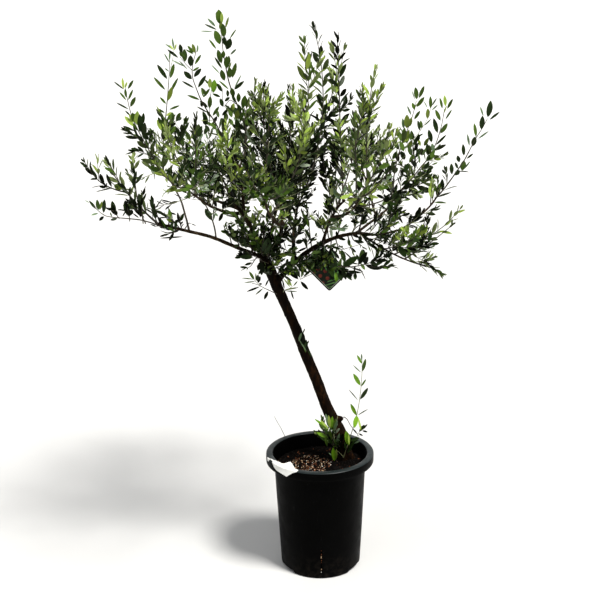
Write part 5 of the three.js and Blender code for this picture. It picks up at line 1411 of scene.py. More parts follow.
# further shoots: where each starts (it joins the nearest limb) and ends, bow, leaf size, chance of a side
# shoot at a node, length of those, tone, breadth of the leaves
SPRIGS = {
    "left_a": ((-320, -70, 877), (-363, -90, 934), 6, 33, 0.3, 30, "dark", 1),
    "left_b": ((-339, -80, 888), (-327, -110, 939), 4, 33, 0.2, 25, "mid", 1),
    "left_c": ((-360, -90, 900), (-378, -100, 963), 6, 32, 0.2, 25, "dark", 1),
    "left_d": ((-391, -95, 912), (-426, -110, 963), 6, 32, 0.3, 25, "dark", 1.05),
    "left_e": ((-421, -75, 953), (-450, -90, 994), 4, 31, 0.2, 25, "dark", 1),
    "left_f": ((-421, -60, 960), (-416, -80, 1026), 0, 31, 0.2, 25, "dark", 1),
    "left_h": ((-452, -80, 997), (-480, -90, 1051), 5, 31, 0.1, 25, "mid", 1),
    "left_i": ((-476, -100, 1014), (-491, -110, 1058), 3, 30, 0.1, 20, "olive", 1),
    "left_j": ((-329, -60, 875), (-362, -90, 870), -4, 30, 0, 0, "dark", 0.9),
    "sa_1": ((-394, -5, 1058), (-445, -40, 1114), 6, 33, 0.3, 35, "dark", 0.9),
    "sa_2": ((-408, 0, 1103), (-438, -30, 1144), 4, 32, 0.2, 25, "mid", 1),
    "sa_3": ((-383, -10, 1035), (-430, -50, 1063), 6, 33, 0.3, 35, "dark", 1),
    "sa_4": ((-388, 0, 1057), (-381, -30, 1110), 4, 32, 0.3, 30, "dark", 1),
    "ab_1": ((-343, -20, 1059), (-321, -60, 1139), 5, 33, 0.4, 35, "mid", 1),
    "ab_2": ((-316, -20, 1058), (-292, -60, 1134), 5, 33, 0.4, 35, "dark", 1),
    "cb_1": ((-232, -60, 1120), (-242, -90, 1205), 5, 34, 0.3, 35, "bright", 1.05),
    "cb_2": ((-264, -60, 1162), (-286, -80, 1231), 5, 36, 0.1, 30, "mid", 1),
    "dd_1": ((-202, 20, 1185), (-229, -10, 1276), 6, 35, 0.05, 25, "mid", 1),
    "dd_2": ((-215, 20, 1275), (-241, 0, 1330), 4, 30, 0, 0, "olive", 0.8),
    "dd_3": ((-208, 30, 1243), (-187, 50, 1292), -4, 28, 0, 0, "olive", 0.8),
    "gg_1": ((-11, 40, 1145), (-28, 0, 1308), 5, 36, 0.05, 30, "mid", 1),
    "gg_2": ((-6, 60, 1185), (14, 80, 1275), -6, 36, 0, 0, "olive", 1),
    "gg_3": ((-26, 20, 1108), (-39, -10, 1189), 4, 33, 0.2, 25, "mid", 1),
    "hh_1": ((39, -60, 1147), (25, -90, 1244), 4, 34, 0.1, 25, "olive", 1),
    "ii_1": ((135, 120, 1085), (104, 90, 1177), 5, 35, 0.3, 35, "mid", 1.05),
    "jj_1": ((211, 150, 1057), (221, 120, 1151), 4, 35, 0.3, 35, "mid", 1),
    "jj_2": ((257, 160, 1030), (281, 150, 1133), -4, 32, 0.05, 25, "olive", 0.9),
    "kk_1": ((300, 180, 1028), (304, 160, 1137), 4, 33, 0.05, 25, "olive", 1),
    "kk_2": ((314, 190, 1006), (338, 200, 1114), -4, 33, 0, 25, "mid", 1),
    "ll_1": ((407, 150, 1083), (437, 170, 1106), -4, 34, 0, 0, "mid", 0.9),
    "mm_1": ((27, -30, 845), (20, -60, 949), -6, 29, 0.5, 45, "olive", 1),
    "mm_2": ((22, -50, 915), (29, -80, 998), -4, 29, 0.4, 40, "bright", 1),
    "mm_3": ((18, -50, 931), (7, -70, 1060), -6, 27, 0.5, 45, "deep", 1),
    "mm_4": ((34, -60, 933), (35, -90, 1066), 6, 28, 0.5, 45, "mid", 1),
    "mm_5": ((9, -20, 863), (-5, -50, 920), -6, 27, 0.3, 35, "dark", 1),
    "mm_6": ((46, -20, 852), (62, -50, 929), 5, 28, 0.3, 35, "mid", 1),
    "mm_7": ((27, -70, 1059), (42, -100, 1133), 4, 29, 0.4, 40, "olive", 1),
    "mm_8": ((-5, -40, 983), (-13, -70, 1064), 4, 27, 0.5, 40, "dark", 1),
    "mm_9": ((-36, -30, 846), (-28, -60, 934), 4, 27, 0.5, 35, "dark", 1),
    "mm_10": ((-48, -20, 820), (-51, -60, 913), 4, 27, 0.5, 40, "deep", 1),
    "lo_1": ((-143, -10, 805), (-213, -60, 880), 14, 28, 0.5, 40, "dark", 1.05),
    "lo_2": ((-147, -20, 817), (-184, -80, 907), 8, 28, 0.5, 40, "dark", 1.05),
    "lo_3": ((-152, -10, 815), (-193, -40, 810), -2, 27, 0.2, 25, "dark", 1.1),
    "lo_4": ((-131, -20, 792), (-159, -90, 878), 8, 28, 0.5, 40, "mid", 1.05),
    "lo_5": ((-128, -30, 799), (-126, -100, 889), 4, 28, 0.6, 45, "deep", 1),
    "lo_6": ((-124, -20, 787), (-89, -90, 864), 6, 28, 0.6, 45, "dark", 1),
    "lo_7": ((-119, -30, 780), (-52, -80, 833), 8, 28, 0.6, 45, "mid", 1),
    "lo_8": ((-110, -30, 770), (-41, -70, 793), 6, 28, 0.5, 40, "dark", 1),
    "lo_9": ((-110, -20, 792), (-61, -60, 885), 6, 28, 0.6, 45, "deep", 1),
    "lo_10": ((-134, 0, 788), (-179, 60, 822), 6, 27, 0.5, 40, "deep", 1),
    "lo_11": ((-125, 10, 785), (-101, 70, 841), 6, 27, 0.5, 40, "deep", 1),
    "lo_12": ((-131, -20, 778), (-140, -60, 773), 2, 27, 0, 0, "mid", 1.15),
    "lo_13": ((-120, -20, 760), (-97, -70, 803), 4, 27, 0.3, 30, "olive", 1),
    "lo_14": ((-67, -20, 791), (-25, -60, 800), 2, 27, 0.4, 35, "dark", 1),
    "lo_15": ((-132, -30, 823), (-213, -110, 929), 12, 28, 0.5, 45, "mid", 1),
    "lo_16": ((-162, 20, 847), (-139, -30, 928), 4, 28, 0.5, 45, "bright", 1),
    "lo_17": ((-132, -20, 845), (-83, -60, 932), 8, 28, 0.5, 45, "mid", 1),
    "un_1": ((-6, -30, 829), (32, -105, 809), -4, 27, 0.6, 30, "mid", 1.05),
    "un_2": ((18, -30, 838), (-7, -105, 810), -4, 27, 0.6, 30, "dark", 1.05),
    "un_3": ((41, -30, 847), (52, -100, 817), -4, 27, 0.4, 30, "mid", 1.05),
    "un_4": ((-29, -30, 817), (2, -100, 795), -4, 27, 0.4, 30, "dark", 1),
    "un_5": ((69, -30, 847), (82, -60, 813), -4, 26, 0.3, 25, "dark", 1),
    "ri_1": ((124, -60, 836), (166, -90, 897), 4, 28, 0.4, 40, "mid", 1),
    "ri_2": ((158, -90, 828), (202, -120, 877), 4, 28, 0.5, 35, "bright", 1.1),
    "ri_3": ((196, -100, 834), (245, -120, 888), 4, 28, 0.4, 35, "mid", 1.1),
    "ri_4": ((211, -110, 822), (262, -140, 796), 2, 26, 0.3, 30, "dark", 1),
    "ri_5": ((103, -120, 812), (171, -170, 813), -4, 32, 0.2, 30, "dark", 1),
    "ri_6": ((79, -30, 845), (123, -60, 906), 4, 28, 0.4, 40, "dark", 1),
    "ri_7": ((269, 40, 913), (272, 20, 980), 3, 28, 0.3, 30, "bright", 1),
    "ri_8": ((173, -100, 834), (233, -150, 851), -2, 28, 0.4, 35, "dark", 1),
    "ri_9": ((90, -40, 851), (167, -90, 860), 4, 28, 0.4, 40, "dark", 1),
    "left_k": ((-445, -120, 922), (-468, -140, 951), 3, 33, 0, 0, "dark", 1.25),
    "left_l": ((-426, -100, 918), (-425, -130, 964), 2, 33, 0, 0, "dark", 1.2),
    "left_m": ((-343, -90, 890), (-349, -110, 942), 3, 34, 0.3, 30, "dark", 1),
    "left_n": ((-325, -90, 883), (-336, -130, 929), 3, 34, 0.3, 30, "olive", 1),
    "left_o": ((-312, -80, 876), (-317, -120, 932), 3, 33, 0.1, 30, "dark", 1),
    "left_p": ((-397, -95, 915), (-396, -120, 960), 2, 33, 0, 0, "dark", 1.15),
    "ac_1": ((-194, -150, 1002), (-196, -190, 1135), 2, 29, 0.5, 40, "bright", 0.9),
    "ac_2": ((-137, -120, 884), (-125, -160, 954), 3, 27, 0.5, 35, "bright", 1),
    "ac_3": ((-163, -150, 962), (-152, -190, 1037), 3, 27, 0.5, 35, "olive", 1),
    "ac_4": ((-286, -120, 981), (-292, -150, 1060), 3, 29, 0.4, 35, "grey", 1),
    "ac_5": ((-346, -80, 1043), (-334, -110, 1117), 2, 27, 0.3, 35, "bright", 1),
    "ac_6": ((-36, -120, 1033), (-27, -150, 1150), 4, 28, 0.5, 40, "olive", 1),
    "ac_7": ((50, -120, 1030), (44, -150, 1137), 3, 28, 0.5, 40, "bright", 0.95),
    "ac_8": ((102, -20, 1076), (104, -60, 1173), 3, 28, 0.5, 40, "olive", 1.05),
    "ac_9": ((73, -140, 997), (65, -170, 1062), 3, 30, 0.2, 30, "young", 0.95),
    "ac_10": ((39, -110, 939), (57, -150, 990), 6, 30, 0.3, 35, "grey", 1),
    "ac_11": ((-123, -120, 1111), (-126, -140, 1214), 3, 27, 0.5, 35, "olive", 1),
    "ac_12": ((-71, -120, 1110), (-60, -140, 1197), 3, 27, 0.5, 35, "olive", 1),
    "ac_13": ((-233, -90, 1149), (-232, -110, 1214), 3, 28, 0.2, 30, "bright", 1.15),
    "ac_14": ((-172, -120, 1090), (-160, -140, 1177), 3, 27, 0.4, 35, "olive", 1),
    "ac_15": ((-88, -130, 885), (-71, -170, 933), 4, 26, 0.5, 30, "bright", 0.95),
    "ac_16": ((201, -150, 858), (183, -190, 902), 3, 28, 0.5, 30, "bright", 1.15),
    "ac_17": ((-1, -120, 1066), (8, -150, 1137), 3, 27, 0.5, 35, "olive", 1),
    "ac_18": ((182, 20, 1024), (185, -10, 1101), 3, 27, 0.4, 35, "olive", 1),
    "ac_19": ((-96, -160, 1017), (-83, -190, 1096), 3, 27, 0.5, 35, "olive", 1),
    "ac_20": ((-214, -150, 929), (-223, -180, 998), 3, 27, 0.5, 35, "mid", 1),
    "lo_18": ((-101, -30, 755), (-51, -80, 781), 4, 28, 0.4, 30, "dark", 1.05),
    "lo_19": ((-88, -40, 794), (-62, -90, 774), -4, 27, 0.4, 30, "mid", 1),
    "lo_20": ((-143, -20, 804), (-185, -60, 819), -2, 29, 0, 0, "deep", 1.25),
    "lo_21": ((-131, -20, 787), (-138, -50, 775), 0, 29, 0, 0, "dark", 1.2),
    "lo_22": ((-72, -40, 772), (-30, -90, 778), 2, 27, 0.3, 30, "dark", 1),
    "un_7": ((27, -40, 845), (15, -115, 798), -4, 29, 0.6, 30, "mid", 1.1),
    "un_8": ((4, -40, 833), (-17, -115, 798), -4, 29, 0.5, 28, "dark", 1.1),
    "foot_3": ((44, 20, 293), (-14, -10, 355), 5, 28, 0.2, 15, "mid", 1.2),
    "foot_4": ((46, 10, 292), (38, -10, 378), 2, 26, 0.2, 15, "grey", 1),
    "foot_11": ((49, 10, 283), (10, -20, 343), 4, 28, 0.3, 15, "dark", 1.1),
    "foot_12": ((51, 10, 278), (40, -25, 331), 2, 24, 0.2, 14, "dark", 1.1),
    "foot_13": ((49, 15, 281), (55, -20, 347), 2, 26, 0.3, 14, "deep", 1.1),
    "foot_14": ((59, 10, 278), (75, -20, 318), 2, 22, 0.3, 14, "deep", 1.1),
    "un_11": ((-44, -60, 805), (-24, -125, 796), 2, 28, 0.5, 24, "dark", 1.1),
    "un_12": ((-25, -60, 824), (-33, -125, 792), -2, 28, 0.5, 24, "mid", 1.1),
    "un_13": ((-15, -60, 828), (-12, -125, 787), -2, 28, 0.5, 24, "dark", 1.1),
    "un_14": ((-67, -60, 791), (-17, -125, 791), 3, 28, 0.4, 24, "dark", 1.1),
    "un_15": ((8, -60, 837), (6, -125, 791), -2, 28, 0.5, 24, "dark", 1.1),
    "dd_4": ((-214, 25, 1252), (-233, 10, 1341), 5, 33, 0, 0, "mid", 1.1),
    "dd_5": ((-211, 25, 1217), (-175, 40, 1274), -4, 32, 0, 0, "mid", 1.1),
    "cc_1": ((-271, -80, 1218), (-293, -90, 1295), 5, 34, 0, 0, "mid", 1),
    "cc_2": ((-265, -80, 1200), (-270, -90, 1286), 4, 33, 0, 0, "olive", 0.95),
    "bb_2": ((-358, 40, 1159), (-337, 35, 1249), -3, 33, 0, 0, "olive", 0.95),
    "hh_2": ((44, -60, 1204), (28, -70, 1299), 4, 33, 0, 0, "olive", 1),
    "hh_3": ((44, -60, 1234), (61, -70, 1290), -3, 31, 0, 0, "mid", 0.9),
    "ee_1": ((-114, -120, 1119), (-109, -140, 1210), 3, 28, 0.4, 30, "olive", 1),
    "ee_2": ((-143, -110, 1127), (-149, -130, 1193), 3, 28, 0.4, 30, "mid", 1),
    "ee_3": ((-79, -110, 1118), (-73, -130, 1192), 3, 28, 0.4, 30, "bright", 0.95),
    "ee_4": ((-101, -130, 1107), (-93, -150, 1181), 3, 28, 0.4, 30, "olive", 0.95),
    "ii_2": ((139, 110, 1110), (167, 110, 1194), -5, 33, 0, 0, "olive", 0.9),
    "ii_3": ((130, 110, 1095), (140, 100, 1176), 3, 32, 0.2, 30, "olive", 1),
    "ab_3": ((-252, -60, 1062), (-252, -80, 1152), 4, 31, 0.3, 30, "mid", 1),
    "gh_1": ((21, -110, 1031), (14, -130, 1101), 3, 28, 0.5, 35, "deep", 1),
    "gh_2": ((-5, -100, 1023), (28, -120, 1091), 3, 28, 0.5, 35, "dark", 1),
    "gh_3": ((30, -120, 1021), (21, -140, 1076), 3, 28, 0.5, 35, "mid", 1),
    "rr_1": ((224, 40, 1009), (237, 20, 1079), 3, 30, 0.3, 30, "dark", 1),
    "rr_2": ((250, 60, 1018), (266, 40, 1081), 3, 30, 0.3, 30, "mid", 1),
    "rr_3": ((183, -60, 887), (198, -80, 959), 3, 28, 0.4, 30, "mid", 1),
    "rr_4": ((79, -30, 842), (109, -75, 823), -3, 28, 0.4, 30, "dark", 1),
    "rr_5": ((102, -40, 837), (138, -80, 814), -3, 28, 0.3, 30, "dark", 1),
    "ll_2": ((-197, -40, 850), (-222, -80, 903), 6, 30, 0.3, 30, "mid", 1.1),
    "ll_3": ((-179, -30, 838), (-205, -75, 890), 4, 30, 0.3, 30, "dark", 1.1),
    "ll_4": ((-309, -90, 878), (-283, -110, 907), 4, 30, 0, 0, "dark", 1.1),
    "ll_5": ((-145, -20, 792), (-177, -60, 778), -3, 28, 0.2, 25, "dark", 1.1),
    "ll_6": ((-111, -30, 741), (-132, -70, 780), 4, 27, 0.3, 25, "dark", 1),
}


def limb_spots():
    """Points along every limb, to find where a further shoot joins."""
    spots = []
    for name in LIMBS:
        _, _, d0, d1 = curve(name)
        wander = 0.0022 if name in BOUGHS else 0.0016
        p, t = drawn_line(name, 0.0, 1.0, 0.005, wander)
        spots.extend((*q, (d0 + (d1 - d0) * w) / 2) for q, w in zip(p, t) if w > 0.05 or name in BOUGHS)
    for a, b in ((0.0, 0.20), (0.78, 1.0)):
        p, t = limb_line("trunk", a, b, 0.005)
        spots.extend((*q, float(girth(w)) / 2) for q, w in zip(p, t))
    return np.array(spots)


def sprig(name, spots):
    start, end, bow, size, chance, reach, tone, broad = SPRIGS[name]
    rng = np.random.default_rng(seed_of(name))
    start, end = np.array(start) * MM, np.array(end) * MM
    if clear(start + (end - start) * 0.9):
        return
    k = int(np.argmin(((spots[:, :3] - start) ** 2 * (1, 0.3, 1)).sum(1)))
    root, r = spots[k, :3], spots[k, 3]
    end = end + (0, (root - start)[1] * 0.6, 0)
    span = (end - root)
    span = span * (1 - min(0.4, 0.45 * size * MM / float(np.linalg.norm(span))))
    length = float(np.linalg.norm(span))
    n = max(6, int(length / 0.006) + 1)
    w = np.linspace(0, 1, n)[:, None]
    sway = rng.normal(0, 0.0014, 3)
    p = root + span * w + np.array((0, 0, bow * MM)) * 4 * w * (1 - w) + sway * np.sin(2 * np.pi * w)
    line = Line(p, min(r * 0.7, 0.0017), 0.0006)
    twigs["brown"].add(*tube(p, np.linspace(line.r0, line.r1, n), 6))

    def visit(s, turn, near):
        if s / line.length > 0.7 or near < 0.8:
            return
        for side in (0, math.pi):
            if rng.random() < chance:
                side_shoot(line, s, turn + side, rng, reach * MM * rng.uniform(0.6, 1.15), next_tone(tone, rng), 1, size * MM * 0.9)

    leafy(line, rng, min(0.3 * length, 0.022), size * MM * 0.57, size * MM, tone, 0.97, broad, visit)


def clothe_bough(name):
    t0, t1, chance, reach = BOUGH_SHOOTS[name]
    rng = np.random.default_rng(seed_of(name) + 3)
    p, t = limb_line(name, 0.0, 1.0, 0.005, 0.0022)
    _, length, d0, d1 = curve(name)
    line = Line(p, d0 / 2, d1 / 2)
    s, turn = t0 * line.length, rng.uniform(0, math.pi)
    while s < t1 * line.length:
        at = line.at(s)[0]
        for side in (0, math.pi):
            x = rng.random()
            if x < chance:
                side_shoot(line, s, turn + side, rng, reach * MM * rng.uniform(0.5, 1.2), spray_tone(at, rng, -0.05))
        if rng.random() < 0.25:
            leaf_pair(line, s, turn, rng, 0.030, 0.95, spray_tone(at, rng), 0.6)
        turn += math.pi / 2 + rng.normal(0, 0.2)
        s += 0.019 * rng.uniform(0.8, 1.2)


def foliage():
    for name in LIMBS:
        if name in BOUGHS:
            clothe_bough(name)
        else:
            inner = name.split("_")[0] in ("front", "back", "top")
            if name not in ("sucker_tall", "left_tip"):
                clothe(name, CLOTHED.get(name, INNER if inner else SPIRE))
    rng = np.random.default_rng(29)
    for k, (start, end, wide, tone) in enumerate(TRUNK_BITS + SET_LEAVES):
        start, end = np.array(start) * MM, np.array(end) * MM
        size, bits = float(np.linalg.norm(end - start)), k < len(TRUNK_BITS)
        face = np.array((0.35, -0.9, 0.2)) if bits else np.array((0.1, -0.9, 0.45)) + rng.normal(0, 0.22, 3)
        add_leaf(tone, start, unit(end - start), face, size, wide * MM, 0.02 if bits else 0.0, 0.05 if bits else rng.uniform(0.08, 0.25), 0.1, True)
    for kind, r0, r1, points in SET_STEMS:
        p = np.array(points) * MM
        w, fine = np.linspace(0, 1, len(p)), np.linspace(0, 1, 5 * len(p))
        p = np.stack([np.interp(fine, w, p[:, i]) for i in range(3)], 1)
        for _ in range(3):
            p[1:-1] = (p[:-2] + 2 * p[1:-1] + p[2:]) / 4
        twigs[kind].add(*tube(p, np.linspace(r0, r1, len(p)) * MM, 7))
    spots = limb_spots()
    for name in SPRIGS:
        sprig(name, spots)
    masses = [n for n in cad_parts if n.startswith("mass_")]
    # upper and lower face colours of each tone; the near-black deep tone is painted shade for leaves in the heart of
    # the crown, and the lighter tones dealt to the open outside are partly painted light
    faces = {
        "deep": (srgb(4, 8, 2), srgb(11, 18, 5), srgb(9, 14, 6), srgb(19, 25, 13)),
        "dark": (srgb(17, 31, 8), srgb(34, 52, 16), srgb(28, 37, 20), srgb(43, 53, 30)),
        "mid": (srgb(46, 69, 20), srgb(75, 101, 31), srgb(62, 76, 40), srgb(86, 100, 56)),
        "olive": (srgb(89, 109, 34), srgb(125, 143, 53), srgb(103, 118, 68), srgb(132, 145, 92)),
        "bright": (srgb(122, 149, 54), srgb(162, 185, 84), srgb(140, 160, 94), srgb(168, 184, 120)),
        "young": (srgb(156, 180, 76), srgb(188, 206, 104), srgb(160, 176, 112), srgb(182, 196, 138)),
        "fresh": (srgb(62, 104, 10), srgb(116, 160, 34), srgb(92, 120, 52), srgb(128, 152, 84)),
        "grey": (srgb(72, 96, 64), srgb(102, 124, 90), srgb(142, 158, 130), srgb(168, 182, 156)),
    }
    for tone, (a, b, c, d) in faces.items():
        if leaf_rows[tone]:
            rough = 0.40 if tone != "grey" else 0.55
            level = {"deep": 0.05, "dark": 0.10, "mid": 0.15}.get(tone, 0.2)
            top = leaf_material("leaf_" + tone, a, b, rough, 0.0, level)
            under = leaf_material("leaf_under_" + tone, c, d, 0.75, 0.15 if tone == "grey" else 0.0, level * 0.5)
            rows = leaf_rows[tone]
            parts = -(-len(rows) // 3900)
            for k in range(parts):
                ob = leaf_mesh("leaves_" + tone + ("_%d" % (k + 1) if parts > 1 else ""), rows[k::parts], top, under)
                place(ob, "leaves", *masses)
    brown = twigs["brown"].make("twigs_brown", [twig_material("twig_bark", srgb(30, 24, 17), srgb(66, 58, 40), 0.75)])
    place(brown, "bark", "sucker_tall_stem", "sucker_short_stem")
    green = twigs["green"].make("twigs_green", [twig_material("twig_green", srgb(92, 98, 62), srgb(146, 150, 108), 0.6)])
    place(green, "bark", *masses)
    print("leaves", {k: len(v) for k, v in leaf_rows.items()}, "twig faces", len(brown.data.polygons), len(green.data.polygons))


# ---- the pot ---------------------------------------------------------------------------------------
def pot():
    top, skirt = POT_HEIGHT, POT_HEIGHT - RIM_SKIRT
    wall_out = lambda z: WALL_FOOT_RADIUS + (WALL_TOP_RADIUS - WALL_FOOT_RADIUS) * (z - 35) / 237
    wall_in = lambda z: wall_out(z) - WALL
    slit_z = [SLIT_BOTTOM, 35, 50, 66, SLIT_TOP]
    outline = [(0, 0), (29, 0), (30.2, 0.5), (33, 7.6), (34.4, 8.5), (59.6, 8.5), (61, 7.7), (63.2, 0.8), (64.6, 0),
               (80, 0), (96.0, 0), (FOOT_RADIUS, 0.35), (99.6, 1.5), (100.5, 3.6), (100.9, 6.6), (101.1, 10.6), (101.3, 13.2), (101.5, 16)]
    first_out = len(outline) - 1
    outline += [(wall_out(z), z) for z in slit_z[1:]]
    last_out = len(outline) - 1
    outline += [(wall_out(z), z) for z in (110, 140, 170, 200, 230, 250, 262, 269)]
    outline += [(wall_out(271) + 0.3, 271.2), (116.4, 277), (118.3, 286), (119.6, 293), (120.4, 295.0), (122.0, 295.8),
                (130.2, 295.8), (131.5, 295.2), (131.9, 294.0), (132.1, skirt + 1.2), (132.5, skirt + 0.3), (133.4, skirt),
                (134.2, skirt + 0.3), (134.7, skirt + 1.2), (135.0, skirt + 6), (135.0, top - 3.6), (134.7, top - 1.7),
                (133.9, top - 0.5), (132.6, top), (121.2, top), (119.6, top - 0.35), (118.7, top - 1.3), (118.1, top - 3.4),
                (116.6, 292), (114.0, 281), (112.6, 273.5), (wall_in(268), 268)]
    outline += [(wall_in(z), z) for z in (262, 230, 170, 120)]
    first_in = len(outline)
    outline += [(wall_in(z), z) for z in (SLIT_TOP, 66, 50, 35)] + [(98.7, SLIT_BOTTOM)]
    last_in = len(outline) - 1
    outline += [(97.2, 13.4), (95.4, FLOOR_TOP), (60, FLOOR_TOP), (0, FLOOR_TOP)]
    half = SLIT_WIDTH / 2 / 103
    centres = [(-math.pi / 2 + k * 2 * math.pi / 3) % (2 * math.pi) for k in range(3)]
    angles = [a for a in np.linspace(0, 2 * math.pi, 256, endpoint=False)
              if all(abs((a - c + math.pi) % (2 * math.pi) - math.pi) > half + 0.006 for c in centres)]
    angles = sorted(angles + [(c + s * half) % (2 * math.pi) for c in centres for s in (-1, 1)])
    starts = {min(range(len(angles)), key=lambda i, c=c: abs(angles[i] - (c - half))) for c in centres}
    n, rings = len(angles), outline[1:-1]
    verts = [(0, 0, outline[0][1] * MM)]
    rng = np.random.default_rng(3)
    for r, z in rings:
        for a in angles:
            zz, rr = z, r
            if r > NOTCH_INNER - 1 and z < NOTCH_HEIGHT + 0.5 and r < 101:
                d = min(abs((a - math.pi / 2 - k * 2 * math.pi / 3 + math.pi) % (2 * math.pi) - math.pi) for k in range(3))
                edge = NOTCH_WIDTH / 2 - abs(math.sin(d)) * max(r, 70)
                w = min(max((edge + 2.2) / 3.6, 0), 1) if d < 0.6 else 0
                w = w * w * (3 - 2 * w)
                zz = z + (NOTCH_HEIGHT + 0.5 - z) * w
            if 30 < z < 268:                            # walls of thin moulded plastic are never quite true
                rr = r + 0.35 * math.sin(2 * a + 0.7) * math.sin(z / 299 * math.pi) + 0.15 * math.sin(5 * a + z * 0.02)
            verts.append((rr * math.cos(a) * MM, rr * math.sin(a) * MM, zz * MM))
    verts.append((0, 0, outline[-1][1] * MM))
    at = lambda i, j: 1 + (i - 1) * n + j % n         # i counts outline points, 1 to len - 2
    faces = [(0, at(1, j + 1), at(1, j)) for j in range(n)]
    last = len(outline) - 2
    for i in range(1, last):
        for j in range(n):
            if j in starts and (first_out <= i < last_out or first_in <= i < last_in):
                continue
            faces.append((at(i, j), at(i, j + 1), at(i + 1, j + 1), at(i + 1, j)))
    faces += [(at(last, j), at(last, j + 1), len(verts) - 1) for j in range(n)]
    for j in starts:
        steps = last_out - first_out
        for k in range(steps):                          # cheeks of the slit
            o0, o1, i0, i1 = first_out + k, first_out + k + 1, last_in - k, last_in - k - 1
            faces.append((at(o0, j), at(i0, j), at(i1, j), at(o1, j))[::-1])
            faces.append((at(o0, j + 1), at(o1, j + 1), at(i1, j + 1), at(i0, j + 1))[::-1])
        faces.append((at(first_out, j), at(first_out, j + 1), at(last_in, j + 1), at(last_in, j)))
        faces.append((at(last_out, j), at(first_in, j), at(first_in, j + 1), at(last_out, j + 1)))
    # painted reflection: the flat top of the rim, the same black plastic, is coloured pale slate for the sky it
    # reflects
    rim_reflection_faces = [int(all(math.hypot(verts[i][0], verts[i][1]) > 0.1165 and verts[i][2] > 0.2975 for i in f)) for f in faces]
    ob = mesh_object("pot_moulded", verts, faces, [
        pot_material("pot_plastic", srgb(1, 1, 1), srgb(3, 3, 3), 0.02),
        pot_material("pot_rim_painted_reflection", srgb(18, 25, 26), srgb(30, 38, 40), 0.25)], rim_reflection_faces, True, 38)
    return place(ob, "pot_plastic", "pot")


# ---- soil and what lies on it ----------------------------------------------------------------------
def ground_height(x, y):
    """Height of the soil over its level, in metres."""
    a = noise.noise(Vector((x * 24, y * 24, 0.3))) * 0.0032 + noise.noise(Vector((x * 90, y * 90, 1.7))) * 0.0014
    b = noise.noise(Vector((x * 260, y * 260, 2.9))) * 0.0007
    mound = 0.004 * math.exp(-((x - 0.067) ** 2 + (y - 0.038) ** 2) / 0.03 ** 2)
    return a + b + mound - 0.0012


